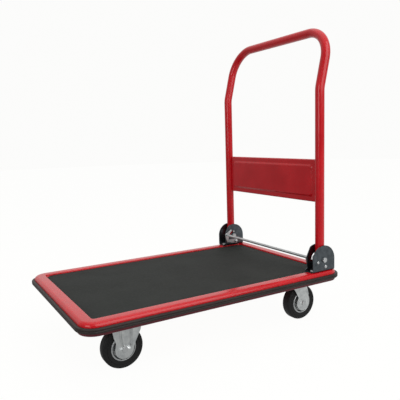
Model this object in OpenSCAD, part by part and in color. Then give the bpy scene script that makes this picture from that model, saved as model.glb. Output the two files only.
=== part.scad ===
// Folding platform trolley: a pressed steel deck on two fixed and two swivel
// casters, with a push handle that folds down over the deck.
// X runs along the deck with the handle at +X, Y across it, Z up.
// The origin is on the floor, under the middle of the deck.

/* [Deck] */
// Length of the steel deck, without the bumper
deck_l = 740; // [720:10:800]
// Width of the steel deck, without the bumper
deck_w = 480; // [480:5:520]
// Height of the rim's crest above the floor
deck_top_z = 150; // [149:1:151]
// Plan radius of the deck's corners
deck_corner_r = 38; // [37:1:46]
// Width of the raised rim around the mat
rim_w = 31; // [30:1:33]
// Radius of the roll along the rim's outer edge
roll_r = 10; // [8:1:11]
// Thickness of the deck sheet
sheet_t = 1.5; // [1.2:0.1:1.8]
// Depth of the mat's recess below the rim's crest
recess = 6.5; // [6:0.5:7]
// Thickness of the rubber mat
mat_t = 2.5; // [2:0.5:4]
// Plan radius of the mat's corners
mat_corner_r = 24; // [7:1:40]

/* [Bumper] */
// How far the rubber bumper stands out from the deck's side
bumper_t = 7.5; // [6:0.5:10]
// Height of the bumper strip
bumper_h = 11.5; // [10:0.5:15]

/* [Handle] */
// Outside diameter of the handle tube
tube_d = 25; // [23:1:25]
// Wall of the handle tube
tube_wall = 1.5; // [1.2:0.1:2]
// Distance between the centre lines of the two uprights
upright_gap = 436; // [430:2:438]
// Height of the pivot axis above the floor
pivot_z = 183; // [182:1:185]
// Height at which the uprights start to lean outwards
kink_z = 640; // [600:10:680]
// Angle of the leaning top part
lean = 13.5; // [8:0.5:18]
// Height of the centre of the cross bar
bar_z = 806; // [790:2:850]
// Centre line radius of the two top corners
corner_r = 82; // [60:2:100]
// Height of the sheet panel's lower edge
panel_z = 340; // [320:5:380]
// Height of the sheet panel
panel_h = 118; // [90:2:140]

/* [Casters] */
// Wheel diameter
wheel_d = 100; // [98:1:102]
// Tread width of a wheel
tyre_w = 28; // [26:1:29]
// Distance of each caster's plate centre from the deck's centre, along X
caster_x = 258; // [250:1:262]
// Distance of each caster's plate centre from the deck's centre line
caster_y = 158; // [150:1:162]
// Trail of the swivel casters
trail = 28; // [24:1:30]

/* [Hidden] */
$fn = 64;
steel = "#8d9093";
zinc = "#a9aca9";
red = "#b01826";
black = "#2c2c2b";

// Deck heights
floor_z = deck_top_z - recess;
under_z = floor_z - sheet_t;
bumper_z = deck_top_z - roll_r - bumper_h;
skirt_z = bumper_z - 8;
skirt_lip = 9;
step_r = 3;
mat_gap = 0.5;

// Channels under the deck, which the casters bolt to
plate_z = 128;
channel_t = 2;
channel_l = 106;
channel_w = deck_w - 28;
spine_w = 80;

// Caster plates and their bolts
plate_t = 2.5;
plate_l = 100;
plate_w = 82;
hole_dx = 80;
hole_dy = 60;
bolt_r = 4;
bolt_hole_r = 4.2;
bolt_head_h = 5.3;
nut_h = 6.5;
bolt_af = 13;

// Handle brackets
upright_x = 311;
upright_y = upright_gap / 2;
bracket_w = 80;
bracket_t = 2.5;
bracket_out_y = upright_y + 16.5;
bracket_in_y = upright_y - 16;
foot_z = pivot_z - 10;
slot_r = 14;
slot_half_w = 3.4;
stop_pin_r = 3;
base_bolt_dx = 27;
base_bolt_y = upright_y + 2.5;
base_head_h = 4;
rivet_x = 290;
rivet_z = 178;
rivet_r = 3;

// Release lever
lever_x = upright_x + 7;
lever_z = pivot_z - 20;
lever_pin_r = 3;
lever_t = 3;
lever_y = bracket_in_y - 0.5;
lever_boss_r = 8;
rod_x = 282;
rod_z = 188;
rod_r = 4;
eye_r = 6.4;
elbow_x = upright_x - 26;
elbow_z = pivot_z - 17;
nose_x = upright_x - 12.5;
nose_z = pivot_z + 18.5;
nose_r = 3.5;
spring_wire = 1.2;
spring_coils = 2;

// Handle tube
tube_r = tube_d / 2;
kink_r = 70;
bush_r = 5.5;
running = 0.05;
panel_t = 1.5;
panel_flange = 11;
panel_raise = 3;
panel_border = 15;

// Wheels and forks
axle_z = wheel_d / 2;
barrel_r = 28.5;
lip_r = 30.5;
hub_r = 13;
bush_out_r = 9;
hub_w = 32;
fork_gap = 35;
leg_t = 2.5;
leg_foot_r = 23;
swivel_foot_r = 22;
crown_z = 116;
crown_t = 2.5;
crown_r = 27;
king_r = 6;
king_head_r = 11;
ball_r = 3;
ball_ring_r = 20;
ball_count = 16;
ball_z = (crown_z + plate_z - plate_t) / 2;

// ---------------------------------------------------------------- helpers

// A rounded rectangle in plan, centred on the origin.
module plan(l, w, r) {
    square([l - 2 * r, w], center = true);
    square([l, w - 2 * r], center = true);
    for (sx = [-1, 1], sy = [-1, 1])
        translate([sx * (l / 2 - r), sy * (w / 2 - r)]) circle(r);
}

// Sweeps a section round the deck. In the section, x is the distance outwards
// from a corner arc's centre, and y is the height.
module round_the_deck() {
    half_x = deck_l / 2 - deck_corner_r;
    half_y = deck_w / 2 - deck_corner_r;
    for (k = [0:3]) {
        sx = (k == 0 || k == 3) ? 1 : -1;
        sy = (k < 2) ? 1 : -1;
        run = (k % 2 == 0) ? 2 * half_x : 2 * half_y;
        translate([sx * half_x, sy * half_y]) rotate(90 * k) {
            rotate_extrude(angle = 90) children();
            translate([-run, 0]) rotate([90, 0, 90]) linear_extrude(run) children();
        }
    }
}

// Stands a flat outline up in the XZ plane, from y = from to y = from + t.
module upright_plate(from, t) {
    translate([0, from + t, 0]) rotate([90, 0, 0]) linear_extrude(t) children();
}

// A round bar along Y, from y0 to y1.
module bar_y(x, z, y0, y1, r) {
    translate([x, y0, z]) rotate([-90, 0, 0]) cylinder(h = y1 - y0, r = r);
}

// A hexagon head or nut, standing on the origin along +Z.
module hexagon(af, h) {
    cylinder(h = h, d = af / cos(30), $fn = 6);
}

// A hexagon along Y, from y0 to y1.
module hexagon_y(x, z, y0, y1) {
    translate([x, y0, z]) rotate([-90, 0, 0]) hexagon(bolt_af, y1 - y0);
}

// A strap with round ends between two points of a flat outline.
module strap(p, q, r) {
    d = q - p;
    translate(p) circle(r);
    translate(q) circle(r);
    translate(p) rotate(atan2(d[1], d[0])) translate([0, -r]) square([norm(d), 2 * r]);
}

// Everything handed to it, once near and once mirrored far.
module both_sides() {
    children();
    mirror([0, 1, 0]) children();
}

module far() {
    mirror([0, 1, 0]) children();
}

// ---------------------------------------------------------------- deck

// The sheet's section: recess wall, crest, outer roll, side and bottom lip.
module pan_section() {
    out = deck_corner_r;
    wall = out - rim_w;
    translate([wall, under_z]) square([sheet_t, deck_top_z - step_r - under_z]);
    translate([wall + step_r, deck_top_z - step_r]) intersection() {
        quarter_ring_circle(step_r);
        translate([-step_r, 0]) square(step_r);
    }
    translate([wall + step_r, deck_top_z - sheet_t])
        square([rim_w - step_r - roll_r, sheet_t]);
    translate([out - roll_r, deck_top_z - roll_r]) intersection() {
        quarter_ring_circle(roll_r);
        square(roll_r);
    }
    translate([out - sheet_t, skirt_z]) square([sheet_t, deck_top_z - roll_r - skirt_z]);
    translate([out - skirt_lip, skirt_z]) square([skirt_lip, sheet_t]);
}

// A ring of sheet thickness, which the section takes a quarter of.
module quarter_ring_circle(r) {
    difference() {
        circle(r);
        circle(r - sheet_t);
    }
}

module deck_pan() {
    tuck = rim_w - sheet_t / 2;
    color(red) difference() {
        union() {
            translate([0, 0, under_z]) linear_extrude(sheet_t)
                plan(deck_l - 2 * tuck, deck_w - 2 * tuck, deck_corner_r - tuck);
            round_the_deck() pan_section();
        }
        both_sides() base_bolt_places() cylinder(h = deck_top_z, r = bolt_hole_r);
    }
}

module deck_mat() {
    edge = rim_w + mat_gap;
    color(black) translate([0, 0, floor_z]) linear_extrude(mat_t)
        plan(deck_l - 2 * edge, deck_w - 2 * edge, mat_corner_r);
}

// A strip with rounded outer edges and one groove along it.
module bumper_section() {
    edge_r = 4;
    groove_r = 1.2;
    difference() {
        translate([deck_corner_r, bumper_z]) intersection() {
            square([bumper_t, bumper_h]);
            union() {
                square([bumper_t - edge_r, bumper_h]);
                translate([0, edge_r]) square([bumper_t, bumper_h - 2 * edge_r]);
                for (v = [edge_r, bumper_h - edge_r])
                    translate([bumper_t - edge_r, v]) circle(edge_r);
            }
        }
        translate([deck_corner_r + bumper_t, bumper_z + bumper_h / 2]) circle(groove_r);
    }
}

module bumper_strip() {
    color(black) round_the_deck() bumper_section();
}

// ---------------------------------------------------------------- channels

// An open channel against the deck, its flat side down at plate_z.
module channel(l, w, wall_x) {
    h = under_z - plate_z;
    translate([-l / 2, -w / 2, plate_z]) cube([l, w, channel_t]);
    for (s = [-1, 1])
        if (wall_x) translate([s * (l - channel_t) / 2 - channel_t / 2, -w / 2, plate_z])
            cube([channel_t, w, h]);
        else translate([-l / 2, s * (w - channel_t) / 2 - channel_t / 2, plate_z])
            cube([l, channel_t, h]);
}

module cross_channel(x) {
    color(red) difference() {
        translate([x, 0, 0]) channel(channel_l, channel_w, true);
        for (s = [-1, 1]) translate([x, s * caster_y, 0]) plate_holes();
    }
}

module front_cross_channel() {
    cross_channel(-caster_x);
}

module rear_cross_channel() {
    cross_channel(caster_x);
}

module spine_channel() {
    color(red) channel(2 * caster_x - channel_l, spine_w, false);
}

// ---------------------------------------------------------------- brackets

module base_bolt_places() {
    for (s = [-1, 1]) translate([upright_x + s * base_bolt_dx, -base_bolt_y, 0]) children();
}

// Outline of a bracket's side plate: straight sides and a round top.
module bracket_outline() {
    difference() {
        union() {
            translate([upright_x - bracket_w / 2, deck_top_z])
                square([bracket_w, pivot_z - deck_top_z]);
            translate([upright_x, pivot_z]) intersection() {
                circle(bracket_w / 2);
                translate([-bracket_w / 2, 0]) square([bracket_w, bracket_w / 2]);
            }
        }
        translate([upright_x, pivot_z]) circle(bolt_hole_r);
        translate([lever_x, lever_z]) circle(lever_pin_r);
    }
}

// What the inboard plate lacks of that outline: a narrower front edge with a
// sloping corner above it.
module bracket_chamfer() {
    front = upright_x - bracket_w / 2;
    polygon([[front - 1, deck_top_z + bracket_t + 3], [front + 8, deck_top_z + bracket_t + 9],
        [front + 8, pivot_z + 13], [front + 20, pivot_z + bracket_w / 2 - 4],
        [front + 20, pivot_z + bracket_w], [front - 1, pivot_z + bracket_w]]);
}

// The quarter slot that the stop pin slides in.
module stop_slot() {
    translate([upright_x, pivot_z]) {
        intersection() {
            difference() {
                circle(slot_r + slot_half_w);
                circle(slot_r - slot_half_w);
            }
            translate([-2 * slot_r, 0]) square(2 * slot_r);
        }
        translate([0, slot_r]) circle(slot_half_w);
        translate([-slot_r, 0]) circle(slot_half_w);
    }
}

module bracket_near() {
    color(steel) difference() {
        union() {
            upright_plate(-bracket_out_y, bracket_t) difference() {
                bracket_outline();
                translate([rivet_x, rivet_z]) circle(rivet_r);
            }
            upright_plate(-bracket_in_y - bracket_t, bracket_t) difference() {
                bracket_outline();
                bracket_chamfer();
                stop_slot();
            }
            translate([upright_x - bracket_w / 2, -bracket_out_y, deck_top_z])
                cube([bracket_w, bracket_out_y - bracket_in_y, bracket_t]);
        }
        base_bolt_places() cylinder(h = 2 * deck_top_z, r = bolt_hole_r);
    }
}

module bracket_far() {
    far() bracket_near();
}

module bracket_bolts() {
    head_r = 8;
    color(zinc) both_sides() base_bolt_places() {
        translate([0, 0, deck_top_z + bracket_t]) cylinder(h = base_head_h, r = head_r);
        translate([0, 0, deck_top_z - 11]) cylinder(h = 11 + bracket_t, r = bolt_r);
    }
}

module bracket_nuts() {
    color(zinc) both_sides() base_bolt_places()
        translate([0, 0, deck_top_z - sheet_t - nut_h]) difference() {
            hexagon(bolt_af, nut_h);
            translate([0, 0, -1]) cylinder(h = nut_h + 2, r = bolt_r);
        }
}

module bracket_rivets() {
    head_t = 1.5;
    color(zinc) both_sides() {
        bar_y(rivet_x, rivet_z, -bracket_out_y - head_t, -bracket_out_y, 1.5 * rivet_r);
        bar_y(rivet_x, rivet_z, -bracket_out_y, -bracket_out_y + bracket_t, rivet_r);
    }
}

module pivot_bolts() {
    color(zinc) both_sides() {
        hexagon_y(upright_x, pivot_z, -bracket_out_y - bolt_head_h, -bracket_out_y);
        bar_y(upright_x, pivot_z, -bracket_out_y, nut_h + 1 - bracket_in_y, bolt_r);
    }
}

module pivot_nuts() {
    color(zinc) both_sides() difference() {
        hexagon_y(upright_x, pivot_z, -bracket_in_y, nut_h - bracket_in_y);
        bar_y(upright_x, pivot_z, -bracket_in_y - 1, nut_h + 1 - bracket_in_y, bolt_r);
    }
}

// Stepped pins that the release levers turn on, headed at both ends.
module lever_pins() {
    head_t = 1.5;
    head_r = 5.5;
    inboard = lever_t + spring_coils * spring_wire + 1.2;
    color(zinc) both_sides() {
        bar_y(lever_x, lever_z, -bracket_out_y - head_t, -bracket_out_y, head_r);
        bar_y(lever_x, lever_z, -bracket_out_y, inboard - lever_y, lever_pin_r);
        bar_y(lever_x, lever_z, inboard - lever_y, inboard + head_t - lever_y, head_r);
    }
}

// Close-wound torsion springs round the lever pins, each a sleeve with one leg
// that reaches under the lever.
module lever_springs() {
    inner_r = 3.8;
    outer_r = inner_r + spring_wire;
    start = -lever_y + lever_t + 0.4;
    end = start + spring_coils * spring_wire;
    color(steel) both_sides() {
        difference() {
            bar_y(lever_x, lever_z, start, end, outer_r);
            bar_y(lever_x, lever_z, start - 1, end + 1, inner_r);
        }
        translate([lever_x - 20, start + spring_wire / 2, lever_z - outer_r + spring_wire / 2])
            rotate([0, 90, 0]) cylinder(h = 18, d = spring_wire);
    }
}

// ---------------------------------------------------------------- handle

module tube_wall_ring() {
    difference() {
        circle(tube_r);
        circle(tube_r - tube_wall);
    }
}

// Half of the handle tube, from the near foot to the middle of the cross bar.
module handle_half() {
    rise = bar_z - kink_z - kink_r * sin(lean);
    slope_l = rise / cos(lean) - corner_r;
    translate([upright_x, -upright_y, foot_z]) linear_extrude(kink_z - foot_z) tube_wall_ring();
    translate([upright_x + kink_r, -upright_y, kink_z]) {
        rotate([90, 0, 0]) rotate(180 - lean)
            rotate_extrude(angle = lean) translate([kink_r, 0]) tube_wall_ring();
        rotate([0, lean, 0]) translate([-kink_r, 0, 0]) {
            linear_extrude(slope_l) tube_wall_ring();
            translate([0, corner_r, slope_l]) {
                rotate([90, 0, 90]) rotate(90)
                    rotate_extrude(angle = 90) translate([corner_r, 0]) tube_wall_ring();
                translate([0, 0, corner_r]) rotate([-90, 0, 0])
                    linear_extrude(upright_y - corner_r) tube_wall_ring();
            }
        }
    }
}

module handle_tube() {
    color(red) difference() {
        both_sides() handle_half();
        both_sides() {
            bar_y(upright_x, pivot_z, -upright_y - tube_d, tube_d - upright_y, bush_r);
            bar_y(upright_x, pivot_z + slot_r, -upright_y - tube_d, tube_d - upright_y,
                stop_pin_r);
        }
    }
}

// A folded sheet between the uprights, with a raised field facing the deck.
module handle_panel() {
    half = upright_y - tube_r + 0.5;
    field = half - panel_border;
    color(red) translate([upright_x, 0, panel_z]) {
        translate([-panel_t / 2, -half, 0]) cube([panel_t, 2 * half, panel_h]);
        for (z = [0, panel_h - panel_t])
            translate([0, 2 - half, z]) cube([panel_flange, 2 * half - 4, panel_t]);
        translate([-panel_t / 2 - panel_raise, -field, panel_border])
            cube([panel_raise, 2 * field, panel_h - 2 * panel_border]);
    }
}

module pivot_bushes() {
    half = 13.4;
    color(steel) both_sides() difference() {
        bar_y(upright_x, pivot_z, -upright_y - half, half - upright_y, bush_r);
        bar_y(upright_x, pivot_z, -upright_y - tube_d, tube_d - upright_y, bolt_r + running);
    }
}

module stop_pins() {
    color(zinc) both_sides()
        bar_y(upright_x, pivot_z + slot_r, -upright_y - tube_r + 0.5, 3 - bracket_in_y,
            stop_pin_r);
}

// ---------------------------------------------------------------- release lever

module release_rod() {
    color(zinc) bar_y(rod_x, rod_z, -lever_y, lever_y, rod_r);
}

module release_lever_near() {
    color(zinc) upright_plate(-lever_y, lever_t) difference() {
        union() {
            strap([lever_x, lever_z], [elbow_x, elbow_z], rod_r);
            strap([elbow_x, elbow_z], [rod_x, rod_z], rod_r);
            strap([rod_x, rod_z], [nose_x, nose_z], nose_r);
            translate([lever_x, lever_z]) circle(lever_boss_r);
            translate([rod_x, rod_z]) circle(eye_r);
        }
        translate([lever_x, lever_z]) circle(lever_pin_r + running);
        translate([rod_x, rod_z]) circle(rod_r);
    }
}

module release_lever_far() {
    far() release_lever_near();
}

// ---------------------------------------------------------------- casters

// The four bolt holes of a caster plate, centred on the origin.
module plate_holes() {
    for (sx = [-1, 1], sy = [-1, 1])
        translate([sx * hole_dx / 2, sy * hole_dy / 2, 0]) cylinder(h = 200, r = bolt_hole_r);
}

module caster_plate() {
    translate([0, 0, plate_z - plate_t]) linear_extrude(plate_t) plan(plate_l, plate_w, 8);
}

module at_fixed() {
    translate([-caster_x, -caster_y, 0]) children();
}

module at_swivel() {
    translate([caster_x, -caster_y, 0]) children();
}

module at_swivel_axle() {
    at_swivel() translate([trail, 0, 0]) children();
}

// The two legs of a fork, from one outline, with the axle's hole.
module fork_legs(axle_x) {
    for (s = [-1, 1])
        upright_plate(s * (fork_gap + leg_t) / 2 - leg_t / 2, leg_t) difference() {
            children();
            translate([axle_x, axle_z]) circle(bolt_r);
        }
}

module fixed_fork_near() {
    top = plate_z - plate_t;
    color(zinc) at_fixed() {
        difference() {
            caster_plate();
            plate_holes();
        }
        fork_legs(0) {
            polygon([[-32, top], [46, top], [42, axle_z + 40], [28, axle_z + 13],
                [leg_foot_r, axle_z], [-leg_foot_r, axle_z], [-20, axle_z + 17],
                [-25, axle_z + 31]]);
            translate([0, axle_z]) circle(leg_foot_r);
        }
    }
}

module fixed_fork_far() {
    far() fixed_fork_near();
}

// An axle bolt across a fork, its head outboard, for an axle on the Z axis.
module axle_bolt() {
    half = fork_gap / 2 + leg_t;
    hexagon_y(0, axle_z, -half - bolt_head_h, -half);
    bar_y(0, axle_z, -half, half + nut_h + 1, bolt_r);
}

module axle_nut() {
    half = fork_gap / 2 + leg_t;
    difference() {
        hexagon_y(0, axle_z, half, half + nut_h);
        bar_y(0, axle_z, half - 1, half + nut_h + 1, bolt_r);
    }
}

module fixed_axle_bolts() {
    color(zinc) both_sides() at_fixed() axle_bolt();
}

module fixed_axle_nuts() {
    color(zinc) both_sides() at_fixed() axle_nut();
}

module all_plate_places() {
    both_sides() {
        for (sx = [-1, 1], sy = [-1, 1]) {
            at_fixed() translate([sx * hole_dx / 2, sy * hole_dy / 2, 0]) children();
            at_swivel() translate([sx * hole_dx / 2, sy * hole_dy / 2, 0]) children();
        }
    }
}

module caster_bolts() {
    seat = plate_z - plate_t;
    color(zinc) all_plate_places() {
        translate([0, 0, seat - bolt_head_h]) hexagon(bolt_af, bolt_head_h);
        translate([0, 0, seat]) cylinder(h = plate_t + channel_t + nut_h + 1, r = bolt_r);
    }
}

module caster_nuts() {
    color(zinc) all_plate_places() translate([0, 0, plate_z + channel_t]) difference() {
        hexagon(bolt_af, nut_h);
        translate([0, 0, -1]) cylinder(h = nut_h + 2, r = bolt_r);
    }
}

// The groove that the swivel's balls run in.
module ball_groove(r) {
    translate([0, 0, ball_z]) rotate_extrude() translate([ball_ring_r, 0]) circle(r);
}

module swivel_plate_near() {
    cup = 4;
    color(zinc) at_swivel() difference() {
        union() {
            caster_plate();
            translate([0, 0, plate_z - plate_t - cup]) cylinder(h = cup, r = crown_r);
        }
        plate_holes();
        cylinder(h = 200, r = king_r);
        translate([0, 0, plate_z - plate_t - cup - 1]) cylinder(h = cup + 1, r = 13);
        ball_groove(ball_r + 0.4);
    }
}

module swivel_plate_far() {
    far() swivel_plate_near();
}

module kingpins() {
    color(steel) both_sides() at_swivel() {
        translate([0, 0, crown_z - crown_t - 4]) cylinder(h = 3.5, r = king_head_r);
        translate([0, 0, crown_z - crown_t - 0.5])
            cylinder(h = plate_z - crown_z + crown_t + 0.5, r = king_r);
    }
}

module swivel_fork_near() {
    cup = 3.5;
    back = crown_r - 1;
    color(zinc) at_swivel() {
        difference() {
            union() {
                translate([0, 0, crown_z - crown_t]) linear_extrude(crown_t) {
                    circle(crown_r);
                    translate([-back, -fork_gap / 2 - leg_t])
                        square([back + trail, fork_gap + 2 * leg_t]);
                }
                translate([0, 0, crown_z]) cylinder(h = cup, r = crown_r);
            }
            translate([0, 0, crown_z]) cylinder(h = cup + 1, r = 13);
            cylinder(h = 200, r = king_r + running);
            ball_groove(ball_r + running);
        }
        fork_legs(trail) {
            polygon([[-22, crown_z], [trail + 4, crown_z], [trail + 14, axle_z + 52],
                [trail + 17, axle_z + 33], [trail + 20, axle_z + 22],
                [trail + swivel_foot_r, axle_z], [trail - swivel_foot_r, axle_z],
                [trail - 16, axle_z + 16], [-1, axle_z + 41], [-20, axle_z + 58]]);
            translate([trail, axle_z]) circle(swivel_foot_r);
        }
    }
}

module swivel_fork_far() {
    far() swivel_fork_near();
}

module swivel_bolt_near() {
    color(zinc) at_swivel_axle() axle_bolt();
}

module swivel_bolt_far() {
    far() swivel_bolt_near();
}

module swivel_nut_near() {
    color(zinc) at_swivel_axle() axle_nut();
}

module swivel_nut_far() {
    far() swivel_nut_near();
}

module swivel_balls_near() {
    color(steel) at_swivel() for (k = [0:ball_count - 1])
        rotate(360 * k / ball_count) translate([ball_ring_r, 0, ball_z]) sphere(ball_r);
}

module swivel_balls_far() {
    far() swivel_balls_near();
}

// ---------------------------------------------------------------- wheels

// Turns a section about the wheel's axle. In the section, x is the radius and
// y the distance from the wheel's middle plane.
module turned_wheel() {
    translate([0, 0, axle_z]) rotate([90, 0, 0]) rotate_extrude($fn = 96) children();
}

module tyre() {
    shoulder = 7;
    half = tyre_w / 2;
    color(black) turned_wheel() {
        translate([barrel_r, -half + 1]) square([axle_z - shoulder - barrel_r, 2 * half - 2]);
        translate([lip_r, -half]) square([axle_z - shoulder - lip_r, 2 * half]);
        translate([axle_z - shoulder, shoulder - half])
            square([shoulder, 2 * (half - shoulder)]);
        for (s = [-1, 1]) translate([axle_z - shoulder, s * (half - shoulder)])
            circle(shoulder);
    }
}

// A pressed steel centre: barrel with two lips, web and hub tube.
module rim() {
    half = tyre_w / 2;
    color(steel) turned_wheel() {
        translate([barrel_r - 2, -half]) square([2, 2 * half]);
        for (s = [-1, 1]) translate([barrel_r, s * (half - 0.5) - 0.5])
            square([lip_r - barrel_r, 1]);
        translate([hub_r - 1, -1.5]) square([barrel_r - hub_r, 3]);
        translate([bush_out_r, -hub_w / 2]) square([hub_r - bush_out_r, hub_w]);
    }
}

module hub() {
    color(zinc) turned_wheel()
        translate([bolt_r + running, -hub_w / 2])
            square([bush_out_r - bolt_r - running, hub_w]);
}

module tyre_fixed_near() {
    at_fixed() tyre();
}

module tyre_fixed_far() {
    far() at_fixed() tyre();
}

module tyre_swivel_near() {
    at_swivel_axle() tyre();
}

module tyre_swivel_far() {
    far() at_swivel_axle() tyre();
}

module rim_fixed_near() {
    at_fixed() rim();
}

module rim_fixed_far() {
    far() at_fixed() rim();
}

module rim_swivel_near() {
    at_swivel_axle() rim();
}

module rim_swivel_far() {
    far() at_swivel_axle() rim();
}

module hub_fixed_near() {
    at_fixed() hub();
}

module hub_fixed_far() {
    far() at_fixed() hub();
}

module hub_swivel_near() {
    at_swivel_axle() hub();
}

module hub_swivel_far() {
    far() at_swivel_axle() hub();
}

deck_pan();
deck_mat();
bumper_strip();
front_cross_channel();
rear_cross_channel();
spine_channel();
bracket_near();
bracket_far();
bracket_bolts();
bracket_nuts();
bracket_rivets();
pivot_bolts();
pivot_nuts();
lever_pins();
lever_springs();
fixed_fork_near();
fixed_fork_far();
fixed_axle_bolts();
fixed_axle_nuts();
caster_bolts();
caster_nuts();
swivel_plate_near();
swivel_plate_far();
kingpins();
handle_tube();
handle_panel();
pivot_bushes();
stop_pins();
release_rod();
release_lever_near();
release_lever_far();
swivel_fork_near();
swivel_fork_far();
swivel_bolt_near();
swivel_bolt_far();
swivel_nut_near();
swivel_nut_far();
swivel_balls_near();
swivel_balls_far();
tyre_fixed_near();
tyre_fixed_far();
tyre_swivel_near();
tyre_swivel_far();
rim_fixed_near();
rim_fixed_far();
rim_swivel_near();
rim_swivel_far();
hub_fixed_near();
hub_fixed_far();
hub_swivel_near();
hub_swivel_far();
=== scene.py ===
"""Looks of a folding platform trolley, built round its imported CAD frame."""

from __future__ import annotations

import logging
import math
from collections.abc import Callable, Iterable, Sequence
from dataclasses import dataclass
from enum import Enum

import bmesh
import bpy
from mathutils import Matrix, Vector
from mathutils.geometry import tessellate_polygon


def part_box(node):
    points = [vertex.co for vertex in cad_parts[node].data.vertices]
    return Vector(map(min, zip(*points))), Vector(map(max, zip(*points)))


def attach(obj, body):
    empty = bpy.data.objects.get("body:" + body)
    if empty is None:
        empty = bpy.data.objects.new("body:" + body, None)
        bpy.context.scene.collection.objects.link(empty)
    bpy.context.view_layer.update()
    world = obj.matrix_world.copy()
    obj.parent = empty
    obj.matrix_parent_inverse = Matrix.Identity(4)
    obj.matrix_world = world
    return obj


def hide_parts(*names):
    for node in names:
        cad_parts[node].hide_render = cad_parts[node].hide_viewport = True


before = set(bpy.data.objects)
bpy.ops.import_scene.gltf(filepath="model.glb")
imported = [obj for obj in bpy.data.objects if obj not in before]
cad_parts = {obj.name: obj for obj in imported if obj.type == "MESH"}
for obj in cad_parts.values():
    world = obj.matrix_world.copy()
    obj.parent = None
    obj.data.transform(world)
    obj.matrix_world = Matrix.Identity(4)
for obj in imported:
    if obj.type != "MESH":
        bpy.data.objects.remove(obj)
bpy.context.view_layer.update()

MM = 0.001
log = logging.getLogger("trolley")

Point2 = tuple[float, float]
Corner = tuple[float, float, float]
Colour = tuple[float, float, float, float]


class Side(Enum):
    """The two long sides of the trolley, by the sign of Y."""

    NEAR = -1
    FAR = 1

    @property
    def tag(self) -> str:
        """The side's word in the names of nodes and pieces."""
        return self.name.lower()


# ------------------------------------------------------------------ colour and nodes


def linear(hex_colour: str) -> Colour:
    """Turns an sRGB hex colour into linear RGBA.

    Args:
        hex_colour: six hex digits after a hash sign.

    Returns:
        Linear red, green, blue and an alpha of one.
    """
    parts = [int(hex_colour[i : i + 2], 16) / 255 for i in (1, 3, 5)]
    rgb = [c / 12.92 if c <= 0.04045 else ((c + 0.055) / 1.055) ** 2.4 for c in parts]
    return (rgb[0], rgb[1], rgb[2], 1.0)


def add_node(tree: bpy.types.NodeTree, kind: str, inputs: dict | None = None, **settings):
    """Adds a node with its settings, values and links.

    Args:
        tree: the node tree that gets the node.
        kind: the node's type name.
        inputs: input names or numbers, each with a value or an output socket to link.
        **settings: the node's own properties.

    Returns:
        The new node.
    """
    made = tree.nodes.new(kind)
    for name, value in settings.items():
        setattr(made, name, value)
    for key, value in (inputs or {}).items():
        if isinstance(value, bpy.types.NodeSocket):
            tree.links.new(value, made.inputs[key])
        else:
            made.inputs[key].default_value = value
    return made


# ------------------------------------------------------------------ finishes


@dataclass(frozen=True)
class Finish:
    """What every finish has: a name and a Principled shader to dress."""

    name: str

    def start(self) -> tuple[bpy.types.Material, bpy.types.NodeTree, bpy.types.Node]:
        """Makes an empty material.

        Returns:
            The material, its tree and its Principled shader.
        """
        made = bpy.data.materials.new(self.name)
        made.use_nodes = True
        tree = made.node_tree
        return made, tree, tree.nodes["Principled BSDF"]

    def grain(self, tree: bpy.types.NodeTree, size: float, **inputs: float):
        """Adds a noise pattern on object coordinates.

        Args:
            tree: the material's tree.
            size: the size of one grain, in metres.
            **inputs: further inputs of the noise, by name.

        Returns:
            The noise node.
        """
        place = add_node(tree, "ShaderNodeTexCoord")
        values = {"Vector": place.outputs["Object"], "Scale": 1 / size}
        values.update(inputs)
        return add_node(tree, "ShaderNodeTexNoise", values)

    def spread(self, tree: bpy.types.NodeTree, factor, low, high, span=(0.3, 0.7)):
        """Maps a factor to a range of colours or, with numbers, to a range of values.

        Args:
            tree: the material's tree.
            factor: the socket that drives the range.
            low: hex colour or number at the low end.
            high: hex colour or number at the high end.
            span: the factor's values at the two ends.

        Returns:
            The output socket.
        """
        if isinstance(low, str):
            made = add_node(tree, "ShaderNodeValToRGB", {"Fac": factor})
            ramp = made.color_ramp
            ramp.elements[0].position, ramp.elements[1].position = span
            ramp.elements[0].color, ramp.elements[1].color = linear(low), linear(high)
            return made.outputs["Color"]
        made = add_node(tree, "ShaderNodeMapRange", {
            "Value": factor, "From Min": span[0], "From Max": span[1],
            "To Min": low, "To Max": high,
        })
        return made.outputs["Result"]

    def bump(self, tree, shader, height, distance: float, strength: float = 1.0) -> None:
        """Gives a shader bumps from a height.

        Args:
            tree: the material's tree.
            shader: the Principled shader.
            height: the output socket of the height, from 0 to 1.
            distance: the height of a full bump, in metres.
            strength: how much of it shows.
        """
        made = add_node(tree, "ShaderNodeBump", {
            "Height": height, "Distance": distance, "Strength": strength,
        })
        tree.links.new(made.outputs["Normal"], shader.inputs["Normal"])


@dataclass(frozen=True)
class PowderCoat(Finish):
    """Polyester powder coat baked on steel: glossy, with a faint orange peel."""

    shade: str = "#b40a16"
    deep: str = "#a80813"
    roughness: float = 0.2

    def build(self) -> bpy.types.Material:
        """Makes the material."""
        made, tree, shader = self.start()
        drift = self.grain(tree, 60 * MM, Detail=2.0)
        peel = self.grain(tree, 1.6 * MM, Detail=1.0)
        tree.links.new(self.spread(tree, drift.outputs["Fac"], self.deep, self.shade),
                       shader.inputs["Base Color"])
        tree.links.new(self.spread(tree, drift.outputs["Fac"], self.roughness,
                                   self.roughness + 0.08), shader.inputs["Roughness"])
        shader.inputs["Specular IOR Level"].default_value = 0.3
        shader.inputs["Coat Weight"].default_value = 0.15
        shader.inputs["Coat Roughness"].default_value = 0.08
        self.bump(tree, shader, peel.outputs["Fac"], 0.03 * MM, 0.6)
        return made


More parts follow.
